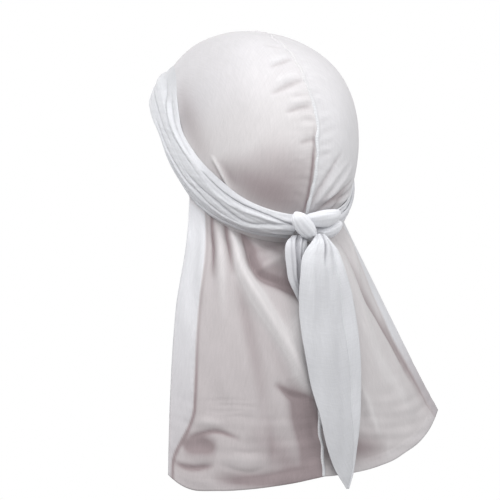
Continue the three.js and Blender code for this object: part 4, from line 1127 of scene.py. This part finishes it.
def tie_end(name, node, table, size, hang, fold_side, gathers, creases, shade, grid):
    """A sheet over (down the end, across its section), whose path goes over the width, round a half
    circle and back along the strip, then is arched and gathered outwards. It hangs from a share of
    the knot's height under the knot's middle. Its strip is on its left edge for a fold side of 1 and
    on its right edge for -1."""
    length, width = size
    drop = np.linspace(0, 1, grid[0])[:, None]
    rows = rounded(table, 400)
    across, lift, half, strip, arch = [np.interp(drop, rows[:, 0], rows[:, k]) for k in range(1, 6)]
    half, strip, arch = half * width, strip * MM, arch * MM
    z = KNOT_MIDDLE[2] - hang * KNOT_HEIGHT - drop * length
    x = KNOT_MIDDLE[0] + across * KNOT_WIDTH
    y = behind_cape(np.minimum(z, KNOT_SEAT[2] - 0.5 * MM)) + lift * END_STAND_OFF

    bend = np.pi * FOLD_RADIUS
    total = 2 * half + bend + strip
    s = np.linspace(0, 1, grid[1])[None, :] * total
    over = np.clip((s - 2 * half) / bend, 0, 1) * np.pi
    back = np.maximum(0, s - 2 * half - bend)
    flat = np.minimum(s, 2 * half) - half + FOLD_RADIUS * np.sin(over) - back
    out = FOLD_RADIUS * (1 - np.cos(over)) * (1 - 0.85 * smooth(back / np.maximum(strip, 0.1 * MM)))
    place = flat / half
    out = out + arch * (1 - np.clip(place, -1, 1) ** 2)
    for count, phase, height in gathers:
        out = out + height * MM * np.exp(-((drop / 0.16) ** 1.3)) * np.cos(count * np.pi * place + phase)
    down = np.broadcast_to(drop * length, flat.shape)
    folds = np.zeros(flat.shape)
    for places, height, wide, sharp in creases:
        folds += crease(flat, down, np.asarray(places) * MM, height * MM, wide * MM, sharp, 0.4, 0.6)
    hem = smooth(1 - s / END_HEM_WIDTH) + 0.3 * smooth(1 - (total - s) / END_HEM_WIDTH)
    out = out + folds + END_HEM * hem + END_RIPPLE * ripples(flat, down, 5, 60 * MM, 16 * MM, 77)
    out = out + END_SWAY * ripples(down, 0 * flat, 3, 120 * MM, 50 * MM, 71) * smooth(drop / 0.3)

    points = np.stack(np.broadcast_arrays(x + fold_side * flat, y + out, z), -1)
    uv = np.stack([s, run_length(points, 0)], -1)
    doubled = 0.5 * bell(drop / 0.14) + 0.03 + 0.12 * smooth(over / np.pi)
    # Painted shade: growing down the end by its shade, and in the hollows of its creases.
    sheer_and_shade = shade * smooth(drop / 0.25) + smooth(-folds / (2.2 * MM))
    look = uv, doubled, sheer_and_shade, strap_cloth, "strap_cloth"
    piece = make_piece(name, points, grid_faces(*grid, flip=fold_side > 0), *look, node)
    thicken(piece, END_WALL, offset=0)
    return piece


long_end = tie_end(
    "long_tie_end",
    "long_end",
    LONG_END,
    LONG_END_SIZE,
    hang=0.35,
    fold_side=-1,
    gathers=[(4.2, 1.2, 0.5), (7, 0.3, 0.25)],
    creases=LONG_CREASES,
    shade=0.1,
    grid=(230, 110),
)
short_end = tie_end(
    "short_tie_end",
    "short_end",
    SHORT_END,
    SHORT_END_SIZE,
    hang=0.4,
    fold_side=1,
    gathers=[(1.5, 0.4, 0.5), (3, 2.0, 0.3)],
    creases=SHORT_CREASES,
    shade=0.4,
    grid=(120, 90),
)
for piece, flat in ((long_end, (0.066, 0.21)), (short_end, (0.04, 0.08))):
    cloth_area(piece)

# %% [markdown]
# ## Studio
# A plain pale floor lies well below, because the durag is shown at the height at which it is worn. A
# white sky and a few large soft lamps light it: the one above gives the pale top, the one in front
# fills the open side. The floor and the sky look brighter than they light, which keeps the ground
# white behind pale cloth without washing its folds out.


# %% Floor and sky
FLOOR_Z, FLOOR_RADIUS, FLOOR_SIDES, FLOOR_GLOW = -0.9, 3.2, 96, 0.35
SKY_LIGHT, SKY_SEEN = 0.5, 1.0
WHITE, PALE = (1, 1, 1, 1), (0.8, 0.8, 0.8, 1)

ring = np.linspace(0, 2 * np.pi, FLOOR_SIDES, endpoint=False)
floor_points = np.stack([np.cos(ring) * FLOOR_RADIUS, np.sin(ring) * FLOOR_RADIUS, 0 * ring + FLOOR_Z], -1)
floor_mesh = bpy.data.meshes.new("floor")
floor_mesh.from_pydata(floor_points.tolist(), [], [list(range(FLOOR_SIDES))])
floor = bpy.data.objects.new("floor", floor_mesh)
bpy.context.scene.collection.objects.link(floor)
pale = bpy.data.materials.new("pale_floor")
pale.use_nodes = True
tree = pale.node_tree
seen = add_node(tree, "LightPath", "Is Camera Ray")
glow = add_node(tree, "Math", "Value", {0: seen, 1: FLOOR_GLOW}, operation="MULTIPLY")
paint = {"Base Color": PALE, "Roughness": 0.9, "Emission Color": WHITE, "Emission Strength": glow}
fill(tree, tree.nodes["Principled BSDF"], paint)
floor_mesh.materials.append(pale)

scene = bpy.context.scene
scene.view_settings.view_transform = "Standard"
world = bpy.data.worlds.new("studio")
world.use_nodes = True
tree = world.node_tree
seen = add_node(tree, "LightPath", "Is Camera Ray")
strength = add_node(tree, "MapRange", "Result", {"Value": seen, "To Min": SKY_LIGHT, "To Max": SKY_SEEN})
fill(tree, tree.nodes["Background"], {"Color": WHITE, "Strength": strength})
scene.world = world

# %% Lamps
LAMP_SIZE, LAMP_TARGET = 0.6, (0, 0, -0.1)
# Each lamp: its place in metres and its power in watts.
LAMPS = {
    "above": ((0.05, 0.10, 0.75), 1.1),
    "middle": ((0.34, 0.54, 0.22), 2.6),
    "left": ((0.65, 0.25, 0.35), 2.4),
    "right": ((-0.35, 0.75, 0.30), 3.6),
    "front": ((0.30, -0.90, 0.00), 3.4),
}


def facing(name, data, place, target):
    """A new object at a place, which looks at a target."""
    item = bpy.data.objects.new(name, data)
    item.location = place
    item.rotation_euler = (Vector(target) - Vector(place)).to_track_quat("-Z", "Y").to_euler()
    scene.collection.objects.link(item)
    return item


for name, (place, power) in LAMPS.items():
    lamp = bpy.data.lights.new(name, "AREA")
    lamp.size = LAMP_SIZE
    lamp.energy = power
    facing(name, lamp, place, LAMP_TARGET)
print(len(LAMPS), "lamps")

# %% [markdown]
# ## Camera
# The view is from behind and to the wearer's left, level with the middle of the piece and 1.6 m away.
# The lens is chosen so that the piece fills the frame as it should at that distance.

# %% Camera
AZIMUTH, DISTANCE, TARGET = np.radians(148), 1.6, (0, 0, -0.184)
LENS, SENSOR, SHIFT = 133.96, 36, -0.004
lens = bpy.data.cameras.new("camera")
lens.lens = LENS
lens.sensor_width = SENSOR
lens.shift_x = SHIFT
camera_place = Vector(TARGET) + DISTANCE * Vector((np.sin(AZIMUTH), -np.cos(AZIMUTH), 0))
scene.camera = facing("camera", lens, camera_place, TARGET)
print("camera at", [round(part, 3) for part in camera_place])

# %% [markdown]
# ## Finish
# The last line updates the view layer.

# %% Finish
bpy.context.view_layer.update()
